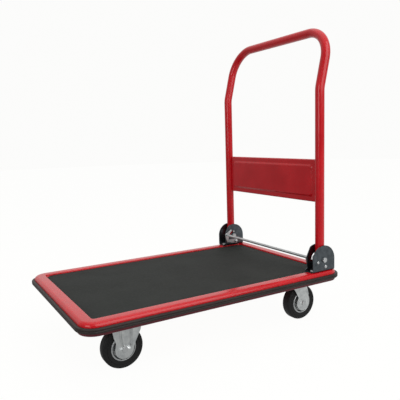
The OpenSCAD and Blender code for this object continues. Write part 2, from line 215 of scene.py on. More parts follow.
@dataclass(frozen=True)
class ZincPlate(Finish):
    """Electroplated zinc on pressed steel: a grey metal with cloudy passivation."""

    shade: str = "#cfd2d1"
    deep: str = "#b2b6b7"
    roughness: float = 0.34
    draw_mark: float = 0.35

    def build(self) -> bpy.types.Material:
        """Makes the material."""
        made, tree, shader = self.start()
        cloud = self.grain(tree, 14 * MM, Detail=4.0, Roughness=0.6)
        fine = self.grain(tree, 0.9 * MM, Detail=3.0)
        tree.links.new(self.spread(tree, cloud.outputs["Fac"], self.deep, self.shade),
                       shader.inputs["Base Color"])
        tree.links.new(self.spread(tree, cloud.outputs["Fac"], self.roughness + 0.12,
                                   self.roughness - 0.04), shader.inputs["Roughness"])
        shader.inputs["Metallic"].default_value = 1.0
        self.bump(tree, shader, fine.outputs["Fac"], 0.05 * MM, self.draw_mark)
        return made


@dataclass(frozen=True)
class MouldedRubber(Finish):
    """Moulded rubber or PVC: matt, with the mould's pebble grain on it."""

    shade: str = "#272927"
    deep: str = "#1f211f"
    pebble: float = 1.8
    depth: float = 0.12
    roughness: float = 0.75

    def build(self) -> bpy.types.Material:
        """Makes the material."""
        made, tree, shader = self.start()
        place = add_node(tree, "ShaderNodeTexCoord")
        cells = add_node(tree, "ShaderNodeTexVoronoi", {
            "Vector": place.outputs["Object"], "Scale": 1 / (self.pebble * MM),
        }, feature="SMOOTH_F1")
        drift = self.grain(tree, 90 * MM, Detail=3.0)
        dust = self.grain(tree, 6 * MM, Detail=5.0, Roughness=0.7)
        both = add_node(tree, "ShaderNodeMath", {
            0: drift.outputs["Fac"], 1: dust.outputs["Fac"],
        }, operation="MULTIPLY")
        tree.links.new(self.spread(tree, both.outputs["Value"], self.deep, self.shade,
                                   (0.12, 0.38)), shader.inputs["Base Color"])
        tree.links.new(self.spread(tree, dust.outputs["Fac"], self.roughness - 0.05,
                                   self.roughness + 0.12), shader.inputs["Roughness"])
        shader.inputs["Specular IOR Level"].default_value = 0.18
        self.bump(tree, shader, cells.outputs["Distance"], self.depth * MM, 0.8)
        return made


# Gloss red, with a faint orange peel that breaks up its reflections.
PAINT = PowderCoat("red_powder_coat_on_steel")
# The same paint, darker and duller, on the hem under the deck: painted shade for the shadow there.
SHADED_HEM_PAINT = PowderCoat("thin_coat_under_the_deck", "#5e1220", "#480d18", 0.45)
# Near black and matt, with a pebble grain that only shows at a low angle.
MAT = MouldedRubber("pebbled_rubber_mat")
# A dark grey with a warm tint that is painted reflection of the red above it, smoother than the mat.
BUMPER = MouldedRubber("extruded_pvc_bumper", "#2f2826", "#241e1c", 0.8, 0.04, 0.42)
# The darkest rubber, with a finer grain and a soft sheen on its shoulders.
TYRE = MouldedRubber("black_tyre_rubber", "#1d1d1d", "#161616", 1.1, 0.05, 0.5)
# Pale cloudy metal with blurred highlights along its bends.
FORK = ZincPlate("zinc_plated_pressed_steel")
# Dark blue-grey metal, so that the brackets stand out against the tube.
BRACKET = ZincPlate("dark_passivated_zinc_on_steel", "#5a6064", "#44494d", 0.33)
# Small bright points that read as bolt heads.
FASTENER = ZincPlate("bright_zinc_fastener", "#c4c6c6", "#aeb2b3", 0.34, 0.15)
# A little greyer than the forks, so that the dish sets itself off.
WHEEL_STEEL = ZincPlate("zinc_plated_wheel_centre", "#bcbebe", "#a2a5a6", 0.36)
# Dull grey steel, between the bolts and the bracket.
SPRING = ZincPlate("oiled_spring_steel", "#7d7f81", "#5f6163", 0.3, 0.15)
# The shiniest metal, with nearly sharp reflections.
BEARING = ZincPlate("ground_bearing_steel", "#cfd1d2", "#c2c5c6", 0.14, 0.05)


class Paints:
    """Builds each finish once and hands out its material."""

    def __init__(self) -> None:
        """Starts with nothing built."""
        self._made: dict[str, bpy.types.Material] = {}

    def of(self, finish: Finish) -> bpy.types.Material:
        """The material of a finish."""
        if finish.name not in self._made:
            self._made[finish.name] = finish.build()
        return self._made[finish.name]


PAINTS = Paints()


# ------------------------------------------------------------------ flat outlines


def rounded(corners: Sequence[Corner], closed: bool = True, steps: int = 6) -> list[Point2]:
    """Rounds the corners of a flat outline.

    Args:
        corners: x, y and radius of each corner.
        closed: whether the last corner joins the first.
        steps: how many chords an arc gets.

    Returns:
        The points of the rounded outline.
    """
    out: list[Point2] = []
    count = len(corners)
    for i, (x, y, r) in enumerate(corners):
        here = Vector((x, y))
        if r <= 0 or (not closed and i in (0, count - 1)):
            out.append((x, y))
            continue
        before = (Vector(corners[i - 1][:2]) - here).normalized()
        after = (Vector(corners[(i + 1) % count][:2]) - here).normalized()
        half = before.angle(after) / 2
        centre = here + (before + after).normalized() * (r / math.sin(half))
        start = here + before * (r / math.tan(half)) - centre
        turn = start.angle_signed(here + after * (r / math.tan(half)) - centre)
        for k in range(steps + 1):
            spun = start.copy()
            spun.rotate(Matrix.Rotation(-turn * k / steps, 2))
            out.append(tuple(centre + spun))
    return out


def sheet_section(line: Sequence[Point2], thickness: float) -> list[Point2]:
    """Gives an open line the thickness of a sheet, on its right-hand side.

    Args:
        line: the points of one surface of the sheet.
        thickness: how thick the sheet is.

    Returns:
        The closed section, out along the line and back along its other surface.
    """
    back: list[Point2] = []
    for i, point in enumerate(line):
        a = Vector(line[max(i - 1, 0)])
        b = Vector(line[min(i + 1, len(line) - 1)])
        ahead = (b - a).normalized()
        near = Vector(point) - a if i else b - a
        skew = max(abs(ahead.dot(near.normalized())), 0.5)
        back.append((point[0] + ahead.y * thickness / skew, point[1] - ahead.x * thickness / skew))
    return list(line) + back[::-1]


def disc_outline(x: float, y: float, r: float, steps: int = 48) -> list[Point2]:
    """The points of a circle."""
    return [(x + r * math.cos(2 * math.pi * k / steps), y + r * math.sin(2 * math.pi * k / steps))
            for k in range(steps)]


def strap_outline(a: Point2, b: Point2, ra: float, rb: float, steps: int = 16) -> list[Point2]:
    """The outline of a strap that wraps two circles.

    Args:
        a: centre of the first circle.
        b: centre of the second circle.
        ra: radius of the first circle.
        rb: radius of the second circle.
        steps: how many chords each round end gets.

    Returns:
        The closed outline, counter-clockwise.
    """
    span = Vector(b) - Vector(a)
    lean = math.atan2(span.y, span.x)
    open_half = math.acos((ra - rb) / span.length)
    out: list[Point2] = []
    for centre, r, start, turn in ((a, ra, open_half, 2 * (math.pi - open_half)),
                                   (b, rb, -open_half, 2 * open_half)):
        for k in range(steps + 1):
            angle = lean + start + turn * k / steps
            out.append((centre[0] + r * math.cos(angle), centre[1] + r * math.sin(angle)))
    return out


# ------------------------------------------------------------------ meshes


class Shape:
    """A mesh under construction, in metres and in the object's own frame."""

    def __init__(self) -> None:
        """Starts empty."""
        self.verts: list[Vector] = []
        self.faces: list[tuple[int, ...]] = []

    def grid(self, rows: Sequence[Sequence[Vector]], ring: bool, loop: bool = False) -> None:
        """Adds a skin over rows of points.

        Args:
            rows: the rows, all of one length.
            ring: whether each row closes on itself.
            loop: whether the last row joins the first.
        """
        base, width, count = len(self.verts), len(rows[0]), len(rows)
        for row in rows:
            self.verts.extend(Vector(p) for p in row)
        for r in range(count if loop else count - 1):
            for c in range(width if ring else width - 1):
                d, e = (r + 1) % count, (c + 1) % width
                self.faces.append((base + r * width + c, base + r * width + e,
                                   base + d * width + e, base + d * width + c))

    def cap(self, points: Sequence[Vector]) -> None:
        """Adds one flat face over a ring of points."""
        base = len(self.verts)
        self.verts.extend(Vector(p) for p in points)
        self.faces.append(tuple(range(base, base + len(points))))

    def add(self, other: "Shape", place: Matrix | None = None) -> "Shape":
        """Joins another shape on, moved by a matrix, and returns this one."""
        base = len(self.verts)
        place = place or Matrix.Identity(4)
        self.verts.extend(place @ v for v in other.verts)
        self.faces.extend(tuple(base + i for i in face) for face in other.faces)
        return self

    def mirrored(self, side: Side) -> "Shape":
        """This near-side shape as it is on a side of the trolley."""
        if side is Side.FAR:
            for v in self.verts:
                v.y = -v.y
        return self

    def mesh(self, name: str, crease: float = 35.0) -> bpy.types.Object:
        """Makes the object, with its doubles merged and its faces turned outwards.

        Args:
            name: the object's name.
            crease: edges sharper than this many degrees stay crisp.

        Returns:
            The new object, linked to the scene.
        """
        work = bmesh.new()
        made = [work.verts.new(v) for v in self.verts]
        for face in self.faces:
            if len(set(face)) > 2:
                work.faces.new([made[i] for i in face])
        bmesh.ops.remove_doubles(work, verts=work.verts, dist=0.002 * MM)
        bmesh.ops.dissolve_degenerate(work, edges=work.edges, dist=0.001 * MM)
        bmesh.ops.recalc_face_normals(work, faces=work.faces)
        data = bpy.data.meshes.new(name)
        work.to_mesh(data)
        work.free()
        made_object = bpy.data.objects.new(name, data)
        bpy.context.scene.collection.objects.link(made_object)
        smooth(made_object, crease)
        return made_object


def smooth(piece: bpy.types.Object, crease: float) -> None:
    """Shades a mesh smooth, with edges over an angle kept sharp."""
    work = bmesh.new()
    work.from_mesh(piece.data)
    limit = math.radians(crease)
    for face in work.faces:
        face.smooth = True
    for edge in work.edges:
        edge.smooth = len(edge.link_faces) == 2 and edge.calc_face_angle(0) < limit
    work.to_mesh(piece.data)
    work.free()


def turned(profile: Sequence[Point2], centre: Vector, steps: int = 96) -> Shape:
    """Turns a closed profile about an axle along Y.

    Args:
        profile: the radius and the distance along Y of each point.
        centre: where the axle crosses the profile's zero.
        steps: how many sectors a turn gets.

    Returns:
        The turned shape.
    """
    rows = []
    for k in range(steps):
        a = 2 * math.pi * k / steps
        rows.append([centre + Vector((r * math.cos(a), y, r * math.sin(a))) for r, y in profile])
    made = Shape()
    made.grid(rows, ring=True, loop=True)
    return made


def extruded(outline: Sequence[Point2], start: Vector, x: Vector, y: Vector,
             length: Vector) -> Shape:
    """Pushes a flat closed outline along a line.

    Args:
        outline: the points of the outline.
        start: where the outline's origin lies.
        x: direction of the outline's first axis.
        y: direction of the outline's second axis.
        length: the way that the outline is pushed.

    Returns:
        The closed shape.
    """
    rows = [[start + x * u + y * v + length * k for u, v in outline] for k in (0, 1)]
    made = Shape()
    made.grid(rows, ring=True)
    made.cap(rows[0])
    made.cap(rows[1][::-1])
    return made


def swept_tube(path: Sequence[Vector], radius: float, bore: float, steps: int = 32) -> Shape:
    """Sweeps a hollow round section along a path.

    Args:
        path: the points of the centre line.
        radius: outside radius.
        bore: inside radius.
        steps: how many sides the section gets.

    Returns:
        The closed tube, with a flat ring at each end.
    """
    side = (path[1] - path[0]).orthogonal().normalized()
    rows = []
    for i, point in enumerate(path):
        ahead = (path[min(i + 1, len(path) - 1)] - path[max(i - 1, 0)]).normalized()
        side = (side - ahead * side.dot(ahead)).normalized()
        up = ahead.cross(side)
        angles = [2 * math.pi * k / steps for k in range(steps)]
        rows.append([(point + (side * math.cos(a) + up * math.sin(a)) * radius,
                      point + (side * math.cos(a) + up * math.sin(a)) * bore) for a in angles])
    made = Shape()
    outer = [[pair[0] for pair in row] for row in rows]
    inner = [[pair[1] for pair in row] for row in rows]
    made.grid(outer, ring=True)
    made.grid(inner, ring=True)
    made.grid([outer[0], inner[0]], ring=True)
    made.grid([outer[-1], inner[-1]], ring=True)
    return made


def lathed(profile: Sequence[Point2], steps: int = 32, closed: bool = False,
           corners: float = 0.0) -> Shape:
    """Turns a profile about the Z axis, or wraps it round a hexagon where it is told to.

    Args:
        profile: the radius and height of each point; a radius of zero is a pole.
        steps: how many sectors a turn gets.
        closed: whether the profile is a ring, as on a nut.
        corners: across-flats size of a hexagon; a negative radius in the profile means
            the hexagon's own outline, cut back to that radius at most.

    Returns:
        The turned shape.
    """
    rows = []
    for r, z in profile:
        row = []
        for k in range(steps):
            a = 2 * math.pi * k / steps
            fold = (a % (math.pi / 3)) - math.pi / 6
            reach = r if r >= 0 else min(corners / 2 / math.cos(fold), -r)
            row.append(Vector((reach * math.cos(a), reach * math.sin(a), z)))
        rows.append(row)
    made = Shape()
    made.grid(rows, ring=True, loop=closed)
    return made


@dataclass(frozen=True)
class Rail:
    """One step along a bent sheet: a place in YZ, its outward normal and its reach in X."""

    place: Point2
    normal: Point2
    reach: Point2


def ribbon(rails: Sequence[Rail], thickness: float, columns: int,
           press: Callable[[float, float], float] | None = None) -> Shape:
    """Makes a bent and pressed sheet whose width changes along it.

    Args:
        rails: the steps along the sheet's outer surface.
        thickness: the sheet's thickness, measured inwards.
        columns: how many points lie across the sheet.
        press: how far the sheet is pressed outwards, from x and z.

    Returns:
        The closed sheet.
    """
    rows = []
    for rail in rails:
        (y, z), (ny, nz), (x0, x1) = rail.place, rail.normal, rail.reach
        outer, inner = [], []
        for c in range(columns):
            x = x0 + (x1 - x0) * c / (columns - 1)
            d = press(x, z) if press else 0.0
            outer.append(Vector((x, y + ny * d, z + nz * d)))
            inner.append(Vector((x, y + ny * (d - thickness), z + nz * (d - thickness))))
        rows.append(outer + inner[::-1])
    made = Shape()
    made.grid(rows, ring=True)
    made.cap(rows[0])
    made.cap(rows[-1][::-1])
    return made


def shifted(loop: Sequence[Point2], inwards: float) -> list[Point2]:
    """Moves a closed outline inwards by a small amount."""
    area = sum(a[0] * b[1] - b[0] * a[1] for a, b in zip(loop, list(loop[1:]) + [loop[0]]))
    turn = math.copysign(inwards, area)
    out = []
    for i, point in enumerate(loop):
        ahead = Vector(loop[(i + 1) % len(loop)]) - Vector(loop[i - 1])
        ahead.normalize()
        out.append((point[0] - ahead.y * turn, point[1] + ahead.x * turn))
    return out


def plate(loops: Sequence[Sequence[Point2]], start: Vector, x: Vector, y: Vector,
          depth: Vector, edge: float) -> Shape:
    """Makes a flat plate with holes and eased edges.

    Args:
        loops: the outline, then one loop for each hole.
        start: where the outline's origin lies.
        x: direction of the outline's first axis.
        y: direction of the outline's second axis.
        depth: the way through the plate, as long as the plate is thick.
        edge: size of the eased edges.

    Returns:
        The closed plate.
    """
    way, thick = depth.normalized(), depth.length
    insets = [shifted(loop, edge if i == 0 else -edge) for i, loop in enumerate(loops)]
    made = Shape()
    for loop, inset in zip(loops, insets):
        levels = ((inset, 0.0), (loop, edge), (loop, thick - edge), (inset, thick))
        made.grid([[start + x * u + y * v + way * d for u, v in ring] for ring, d in levels], True)
    flat = [[Vector((u, v, 0)) for u, v in ring] for ring in insets]
    faces = tessellate_polygon(flat)
    for d in (0.0, thick):
        base = len(made.verts)
        made.verts.extend(start + x * p.x + y * p.y + way * d for ring in flat for p in ring)
        made.faces.extend(tuple(base + i for i in face) for face in faces)
    return made


def smoothstep(start: float, end: float, value: float) -> float:
    """Zero before start, one after end and a smooth rise between them."""
    t = min(max((value - start) / (end - start), 0.0), 1.0)
    return t * t * (3 - 2 * t)


def along(points: Sequence[Point2], value: float) -> float:
    """Reads a line of straight stretches, given by rising values, at a value."""
    for (v0, w0), (v1, w1) in zip(points, points[1:]):
        if value <= v1:
            return w0 + (w1 - w0) * (value - v0) / (v1 - v0)
    return points[-1][1]


def baked(piece: bpy.types.Object) -> bpy.types.Object:
    """Turns a piece and its modifiers into a plain mesh and returns the piece."""
    graph = bpy.context.evaluated_depsgraph_get()
    data = bpy.data.meshes.new_from_object(piece.evaluated_get(graph), depsgraph=graph)
    piece.modifiers.clear()
    piece.data = data
    data.name = piece.name
    return piece


def eased(piece: bpy.types.Object, width: float, crease: float = 35.0) -> bpy.types.Object:
    """Rounds a piece's sharp edges.

    Args:
        piece: the piece to work on.
        width: how wide the rounding is.
        crease: edges sharper than this many degrees are rounded.

    Returns:
        The same piece, as a plain mesh.
    """
    ease = piece.modifiers.new("ease", "BEVEL")
    ease.width, ease.segments = width, 2
    ease.limit_method, ease.angle_limit = "ANGLE", math.radians(crease)
    ease.use_clamp_overlap = True
    baked(piece)
    smooth(piece, crease)
    return piece


def combined(piece: bpy.types.Object, other: bpy.types.Object, way: str) -> bpy.types.Object:
    """Cuts another solid from a piece, or fuses it on.

    Args:
        piece: the piece that is kept.
        other: the solid that is used up.
        way: DIFFERENCE or UNION.

    Returns:
        The same piece, as a plain mesh.
    """
    step = piece.modifiers.new("combine", "BOOLEAN")
    step.operation, step.solver, step.object = way, "EXACT", other
    baked(piece)
    bpy.data.objects.remove(other)
    smooth(piece, 35.0)
    return piece


# ------------------------------------------------------------------ geometry nodes


def node_tree(name: str, inputs: dict[str, str]) -> tuple[bpy.types.NodeTree, bpy.types.Node]:
    """Starts a Geometry Nodes tree.

    Args:
        name: the tree's name.
        inputs: the socket type of each named input.

    Returns:
        The tree and its input node.
    """
    tree = bpy.data.node_groups.new(name, "GeometryNodeTree")
    tree.interface.new_socket("Geometry", in_out="INPUT", socket_type="NodeSocketGeometry")
    for label, kind in inputs.items():
        tree.interface.new_socket(label, in_out="INPUT", socket_type=kind)
    tree.interface.new_socket("Geometry", in_out="OUTPUT", socket_type="NodeSocketGeometry")
    return tree, add_node(tree, "NodeGroupInput")


def close_tree(tree: bpy.types.NodeTree, geometry, finish) -> None:
    """Ends a tree in Realize Instances and Set Material."""
    real = add_node(tree, "GeometryNodeRealizeInstances", {"Geometry": geometry})
    dressed = add_node(tree, "GeometryNodeSetMaterial", {
        "Geometry": real.outputs["Geometry"], "Material": finish,
    })
    add_node(tree, "NodeGroupOutput", {"Geometry": dressed.outputs["Geometry"]})


def run_tree(piece: bpy.types.Object, tree: bpy.types.NodeTree, values: dict) -> bpy.types.Object:
    """Runs a tree on a piece and bakes the result.

    Args:
        piece: the piece whose mesh feeds the tree.
        tree: the Geometry Nodes tree.
        values: the value of each named input.

    Returns:
        The same piece, as a plain mesh.
    """
    step = piece.modifiers.new(tree.name, "NODES")
    step.node_group = tree
    for item in tree.interface.items_tree:
        if item.in_out == "INPUT" and item.name in values:
            step[item.identifier] = values[item.name]
    return baked(piece)


class Copies:
    """Sets copies of one small part at many places."""

    def __init__(self) -> None:
        """Builds the tree: each point carries the turn of its copy."""
        self.tree, start = node_tree("copies_at_places", {
            "Part": "NodeSocketObject", "Size": "NodeSocketFloat", "Finish": "NodeSocketMaterial",
        })
        turn = add_node(self.tree, "GeometryNodeInputNamedAttribute", {"Name": "turn"},
                        data_type="FLOAT_VECTOR")
        part = add_node(self.tree, "GeometryNodeObjectInfo", {"Object": start.outputs["Part"]})
        copies = add_node(self.tree, "GeometryNodeInstanceOnPoints", {
            "Points": start.outputs["Geometry"], "Instance": part.outputs["Geometry"],
            "Rotation": turn.outputs["Attribute"], "Scale": start.outputs["Size"],
        })
        close_tree(self.tree, copies.outputs["Instances"], start.outputs["Finish"])

    def make(self, name: str, part: Shape, places: Iterable[tuple[Vector, Vector]],
             finish: Finish, size: float = 1.0) -> bpy.types.Object:
        """Makes one piece of all the copies.

        Args:
            name: the piece's name.
            part: the part, standing on the origin along Z.
            places: where each copy stands and how it is turned, as Euler angles.
            finish: the finish of the copies.
            size: the scale of the copies.

        Returns:
            The piece.
        """
        spots = list(places)
        source = part.mesh(name + "_source", 30.0)
        data = bpy.data.meshes.new(name)
        data.from_pydata([tuple(p) for p, _ in spots], [], [])
        turns = data.attributes.new("turn", "FLOAT_VECTOR", "POINT")
        turns.data.foreach_set("vector", [c for _, t in spots for c in t])
        piece = bpy.data.objects.new(name, data)
        bpy.context.scene.collection.objects.link(piece)
        run_tree(piece, self.tree, {
            "Part": source, "Size": size, "Finish": PAINTS.of(finish),
        })
        bpy.data.objects.remove(source)
        return piece


class Coil:
    """Winds a spring of round wire."""

    def __init__(self) -> None:
        """Builds the tree: a spiral with a round section swept along it."""
        self.tree, start = node_tree("wound_spring", {
            "Radius": "NodeSocketFloat", "Height": "NodeSocketFloat", "Turns": "NodeSocketFloat",
            "Wire": "NodeSocketFloat", "Place": "NodeSocketVector", "Turned": "NodeSocketVector",
            "Finish": "NodeSocketMaterial",
        })
        spiral = add_node(self.tree, "GeometryNodeCurveSpiral", {
            "Resolution": 32, "Rotations": start.outputs["Turns"],
            "Start Radius": start.outputs["Radius"], "End Radius": start.outputs["Radius"],
            "Height": start.outputs["Height"],
        })
        wire = add_node(self.tree, "GeometryNodeCurvePrimitiveCircle", {
            "Resolution": 10, "Radius": start.outputs["Wire"],
        })
        swept = add_node(self.tree, "GeometryNodeCurveToMesh", {
            "Curve": spiral.outputs["Curve"], "Profile Curve": wire.outputs["Curve"],
            "Fill Caps": True,
        })
        moved = add_node(self.tree, "GeometryNodeTransform", {
            "Geometry": swept.outputs["Mesh"], "Translation": start.outputs["Place"],
            "Rotation": start.outputs["Turned"],
        })
        joined = add_node(self.tree, "GeometryNodeJoinGeometry")
        self.tree.links.new(start.outputs["Geometry"], joined.inputs["Geometry"])
        self.tree.links.new(moved.outputs["Geometry"], joined.inputs["Geometry"])
        close_tree(self.tree, joined.outputs["Geometry"], start.outputs["Finish"])


COPIES = Copies()
COIL = Coil()
UP = Vector((0.0, 0.0, 0.0))
DOWN = Vector((math.pi, 0.0, 0.0))


def outboard(side: Side) -> Vector:
    """The turn that points a part's Z away from the trolley on one side."""
    return Vector((-side.value * math.pi / 2, 0.0, 0.0))


def inboard(side: Side) -> Vector:
    """The turn that points a part's Z towards the trolley's middle from one side."""
    return Vector((side.value * math.pi / 2, 0.0, 0.0))


def hand_over(piece: bpy.types.Object, body: str, slot: str, finish: Finish,
              *nodes: str) -> bpy.types.Object:
    """Dresses a piece and hands it to the frame.

    Args:
        piece: the finished mesh.
        body: the body that it moves with.
        slot: the record's material slot; not used.
        finish: its finish.
        *nodes: the CAD nodes that it stands for.

    Returns:
        The piece.
    """
    piece.data.materials.clear()
    piece.data.materials.append(PAINTS.of(finish))
    for face in piece.data.polygons:
        face.material_index = 0
    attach(piece, body)
    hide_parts(*nodes)
    log.info("%s rides on %s and stands for %s", piece.name, body, ", ".join(nodes) or "nothing")
    return piece


# ------------------------------------------------------------------ fasteners


@dataclass(frozen=True)
class Hardware:
    """The small plated parts, each standing on the origin along Z."""

    flats: float = 13 * MM
    shank_r: float = 4 * MM

    def hex_bolt(self, head: float, length: float) -> Shape:
        """A hexagon bolt, its head above the origin and its shank below."""
        full, cut, r = self.flats, self.flats / 2 * 1.08, self.shank_r
        profile = [(0, -length), (r * 0.82, -length), (r, -length + 0.8 * MM), (r, 0),
                   (-full, 0), (-full, head - 1.0 * MM), (-cut, head - 0.35 * MM),
                   (-cut * 0.93, head), (self.flats * 0.2, head), (self.flats * 0.18, head - 0.2 * MM),
                   (0, head - 0.2 * MM)]
        return lathed(profile, 36, corners=self.flats)

    def hex_nut(self, height: float, pokes_out: float = 0.0) -> Shape:
        """A hexagon nut, with the end of its bolt in it where that pokes out."""
        full, cut, r = self.flats, self.flats / 2 * 1.06, self.shank_r
        profile = [(r, 0), (-cut, 0), (-full, 0.5 * MM), (-full, height - 0.9 * MM),
                   (-cut, height - 0.3 * MM), (-cut * 0.93, height), (r * 1.1, height),
                   (r, height - 0.4 * MM)]
        made = lathed(profile, 36, closed=True, corners=self.flats)
        if pokes_out > 0:
            made.add(self.thread(height - 2 * MM, height + pokes_out))
        return made

    def thread(self, start: float, end: float, pitch: float = 1.25 * MM) -> Shape:
        """The threaded end of a bolt, as close rings with a chamfered tip."""
        profile, z, r = [(0, start), (self.shank_r * 0.9, start)], start, self.shank_r
        while z + pitch < end - 0.6 * MM:
            profile += [(r * 0.9, z + 0.1 * pitch), (r, z + 0.5 * pitch), (r * 0.9, z + 0.95 * pitch)]
            z += pitch
        profile += [(r * 0.95, end - 0.5 * MM), (r * 0.8, end), (0, end)]
        return lathed(profile, 20)

    def round_head(self, r: float, head: float, shank: float, length: float,
                   socket: float = 0.0) -> Shape:
        """A domed head on a shank, with a hexagon socket where it has a size."""
        dome = [(r * math.sin(a), head * (0.25 + 0.75 * math.cos(a)))
                for a in (math.pi / 2 * k / 6 for k in range(6, 0, -1))]
        profile = [(0, -length), (shank, -length), (shank, 0), (r * 0.97, 0)] + dome
        if socket > 0:
            top = head * 0.97
            profile += [(-socket, top), (-socket * 0.98, head * 0.35), (0, head * 0.3)]
            profile = [p for p in profile if p[0] < 0 or p[0] > socket or p[1] < top * 0.9]
        else:
            profile += [(0, head)]
        return lathed(profile, 24, corners=2 * socket * 0.87)

    def weld_ripple(self) -> Shape:
        """One low ripple of a weld bead, lying in XY."""
        rings = [(2.2, 0.0), (2.0, 0.7), (1.3, 1.3), (0.0, 1.6)]
        return lathed([(0, -0.4 * MM)] + [(r * MM, z * MM) for r, z in rings], 8)


HARDWARE = Hardware()


# ------------------------------------------------------------------ deck


def round_the_deck(section: Sequence[Point2], half: Vector, corner: float,
                   steps: int = 14) -> list[list[Vector]]:
    """Carries a section round the deck's outline.

    Args:
        section: distance outwards from a corner arc's centre, and height, of each point.
        half: half the deck's length and half its width.
        corner: the plan radius of the deck's corners.
        steps: how many chords a corner gets.

    Returns:
        One row of points for each step of the way.
    """
    rows = []
    for k in range(4):
        cx = (half.x - corner) * (1 if k in (0, 3) else -1)
        cy = (half.y - corner) * (1 if k < 2 else -1)
        for i in range(steps + 1):
            a = math.pi / 2 * (k + i / steps)
            rows.append([Vector((cx + o * math.cos(a), cy + o * math.sin(a), z))
                         for o, z in section])
    return rows


@dataclass
class Deck:
    """The pressed deck, its mat, the bumper round it and the channels under it."""

    corner: float = 38 * MM
    rim: float = 31 * MM
    roll: float = 10 * MM
    sheet: float = 1.5 * MM
    recess: float = 6.5 * MM
    lip: float = 9 * MM
    hem: float = 9 * MM
    mat_corner: float = 24 * MM
    bumper_edge: float = 2.8 * MM
    stitch: float = 26 * MM

    def build(self) -> None:
        """Builds every piece of the deck."""
        self.build_pan()
        self.build_mat()
        self.build_bumper()
        self.dress_channels()
        self.build_welds()

    def build_pan(self) -> None:
        """The sheet: recessed floor, raised rim, outer roll, side and bottom lip."""
        lo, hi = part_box("deck_pan")
        wall, out, floor = self.corner - self.rim, self.corner, hi.z - self.recess
        hem_z = lo.z + self.hem
        line = rounded([(3 * MM, floor, 0), (wall, floor, 2 * MM), (wall, hi.z, 3 * MM),
                        (out, hi.z, self.roll), (out, hem_z, 0)], closed=False, steps=10)
        rows = round_the_deck(sheet_section(line, self.sheet), Vector((hi.x, hi.y)), out, 20)
        made = Shape()
        made.grid(rows, ring=False, loop=True)
        made.cap([row[0] for row in rows])
        made.cap([row[-1] for row in rows][::-1])
        hand_over(made.mesh("pressed_deck", 40.0), "chassis", "red_paint", PAINT, "deck_pan")
        line = rounded([(out, hem_z, 0), (out, lo.z, 2 * MM), (out - self.lip, lo.z, 0)],
                       closed=False, steps=6)
        rows = round_the_deck(sheet_section(line, self.sheet), Vector((hi.x, hi.y)), out, 20)
        made = Shape()
        made.grid(rows, ring=True, loop=True)
        # The hem takes the darker, duller red as painted shade under the bumper.
        hand_over(made.mesh("deck_hem", 40.0), "chassis", "red_paint", SHADED_HEM_PAINT, "deck_pan")

    def build_mat(self) -> None:
        """The rubber mat, its edge slightly rounded."""
        lo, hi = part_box("deck_mat")
        edge = self.mat_corner
        section = rounded([(1 * MM, hi.z, 0), (edge, hi.z, 1.2 * MM), (edge, lo.z, 0),
                           (1 * MM, lo.z, 0)], closed=False)
        rows = round_the_deck(section, Vector((hi.x, hi.y)), edge, 12)
        made = Shape()
        made.grid(rows, ring=False, loop=True)
        made.cap([row[0] for row in rows])
        made.cap([row[-1] for row in rows][::-1])
        hand_over(made.mesh("pebbled_mat", 40.0), "chassis", "mat_rubber", MAT, "deck_mat")

    def build_bumper(self) -> None:
        """The bumper strip: two soft lobes, and a butt joint at the handle end."""
        lo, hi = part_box("bumper_strip")
        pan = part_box("deck_pan")[1]
        back, front = self.corner, self.corner + hi.x - pan.x
        mid, e = (lo.z + hi.z) / 2, self.bumper_edge
        section = rounded([(back, lo.z, 0.5 * MM), (front, lo.z, e),
                           (front, mid - 1.3 * MM, 0.7 * MM), (front - 1.2 * MM, mid, 0.5 * MM),
                           (front, mid + 1.3 * MM, 0.7 * MM), (front, hi.z, e),
                           (back, hi.z, 0.5 * MM)])
        rows = round_the_deck(section, Vector((pan.x, pan.y)), self.corner, 20)
        for row, y in ((rows[0], 0.2 * MM), (rows[-1], -0.2 * MM)):
            end = [Vector((p.x, y, p.z)) for p in row]
            rows = [end] + rows if y > 0 else rows + [end]
        made = Shape()
        made.grid(rows, ring=True)
        made.cap(rows[0])
        made.cap(rows[-1][::-1])
        hand_over(made.mesh("bumper", 40.0), "chassis", "bumper_rubber", BUMPER, "bumper_strip")

    def dress_channels(self) -> None:
        """Paints the channels, whose shape the frame already has."""
        for name in ("front_cross_channel", "rear_cross_channel", "spine_channel"):
            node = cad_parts[name]
            node.data.materials.clear()
            node.data.materials.append(PAINTS.of(PAINT))
            log.info("%s keeps its shape and gets paint", name)

    def build_welds(self) -> None:
        """Weld stitches where the channels meet the underside of the deck."""
        places = []
        for name in ("front_cross_channel", "rear_cross_channel"):
            lo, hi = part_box(name)
            for x in (lo.x - 1 * MM, hi.x + 1 * MM):
                for y in (-0.42, -0.25, 0.25, 0.42):
                    centre = Vector((x, y * (hi.y - lo.y), hi.z - 0.6 * MM))
                    places += self.stitch_at(centre, Vector((0, 1, 0)))
        lo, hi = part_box("spine_channel")
        for y in (lo.y - 1 * MM, hi.y + 1 * MM):
            for x in (-0.4, -0.2, 0.0, 0.2, 0.4):
                centre = Vector((x * (hi.x - lo.x), y, hi.z - 0.6 * MM))
                places += self.stitch_at(centre, Vector((1, 0, 0)))
        hand_over(COPIES.make("channel_welds", HARDWARE.weld_ripple(), places, PAINT),
                  "chassis", "red_paint", PAINT)

    def stitch_at(self, centre: Vector, way: Vector) -> list[tuple[Vector, Vector]]:
        """The ripples of one weld stitch, hanging down."""
        count = int(self.stitch / (1.6 * MM))
        return [(centre + way * (k / count - 0.5) * self.stitch, DOWN) for k in range(count + 1)]


# ------------------------------------------------------------------ handle end


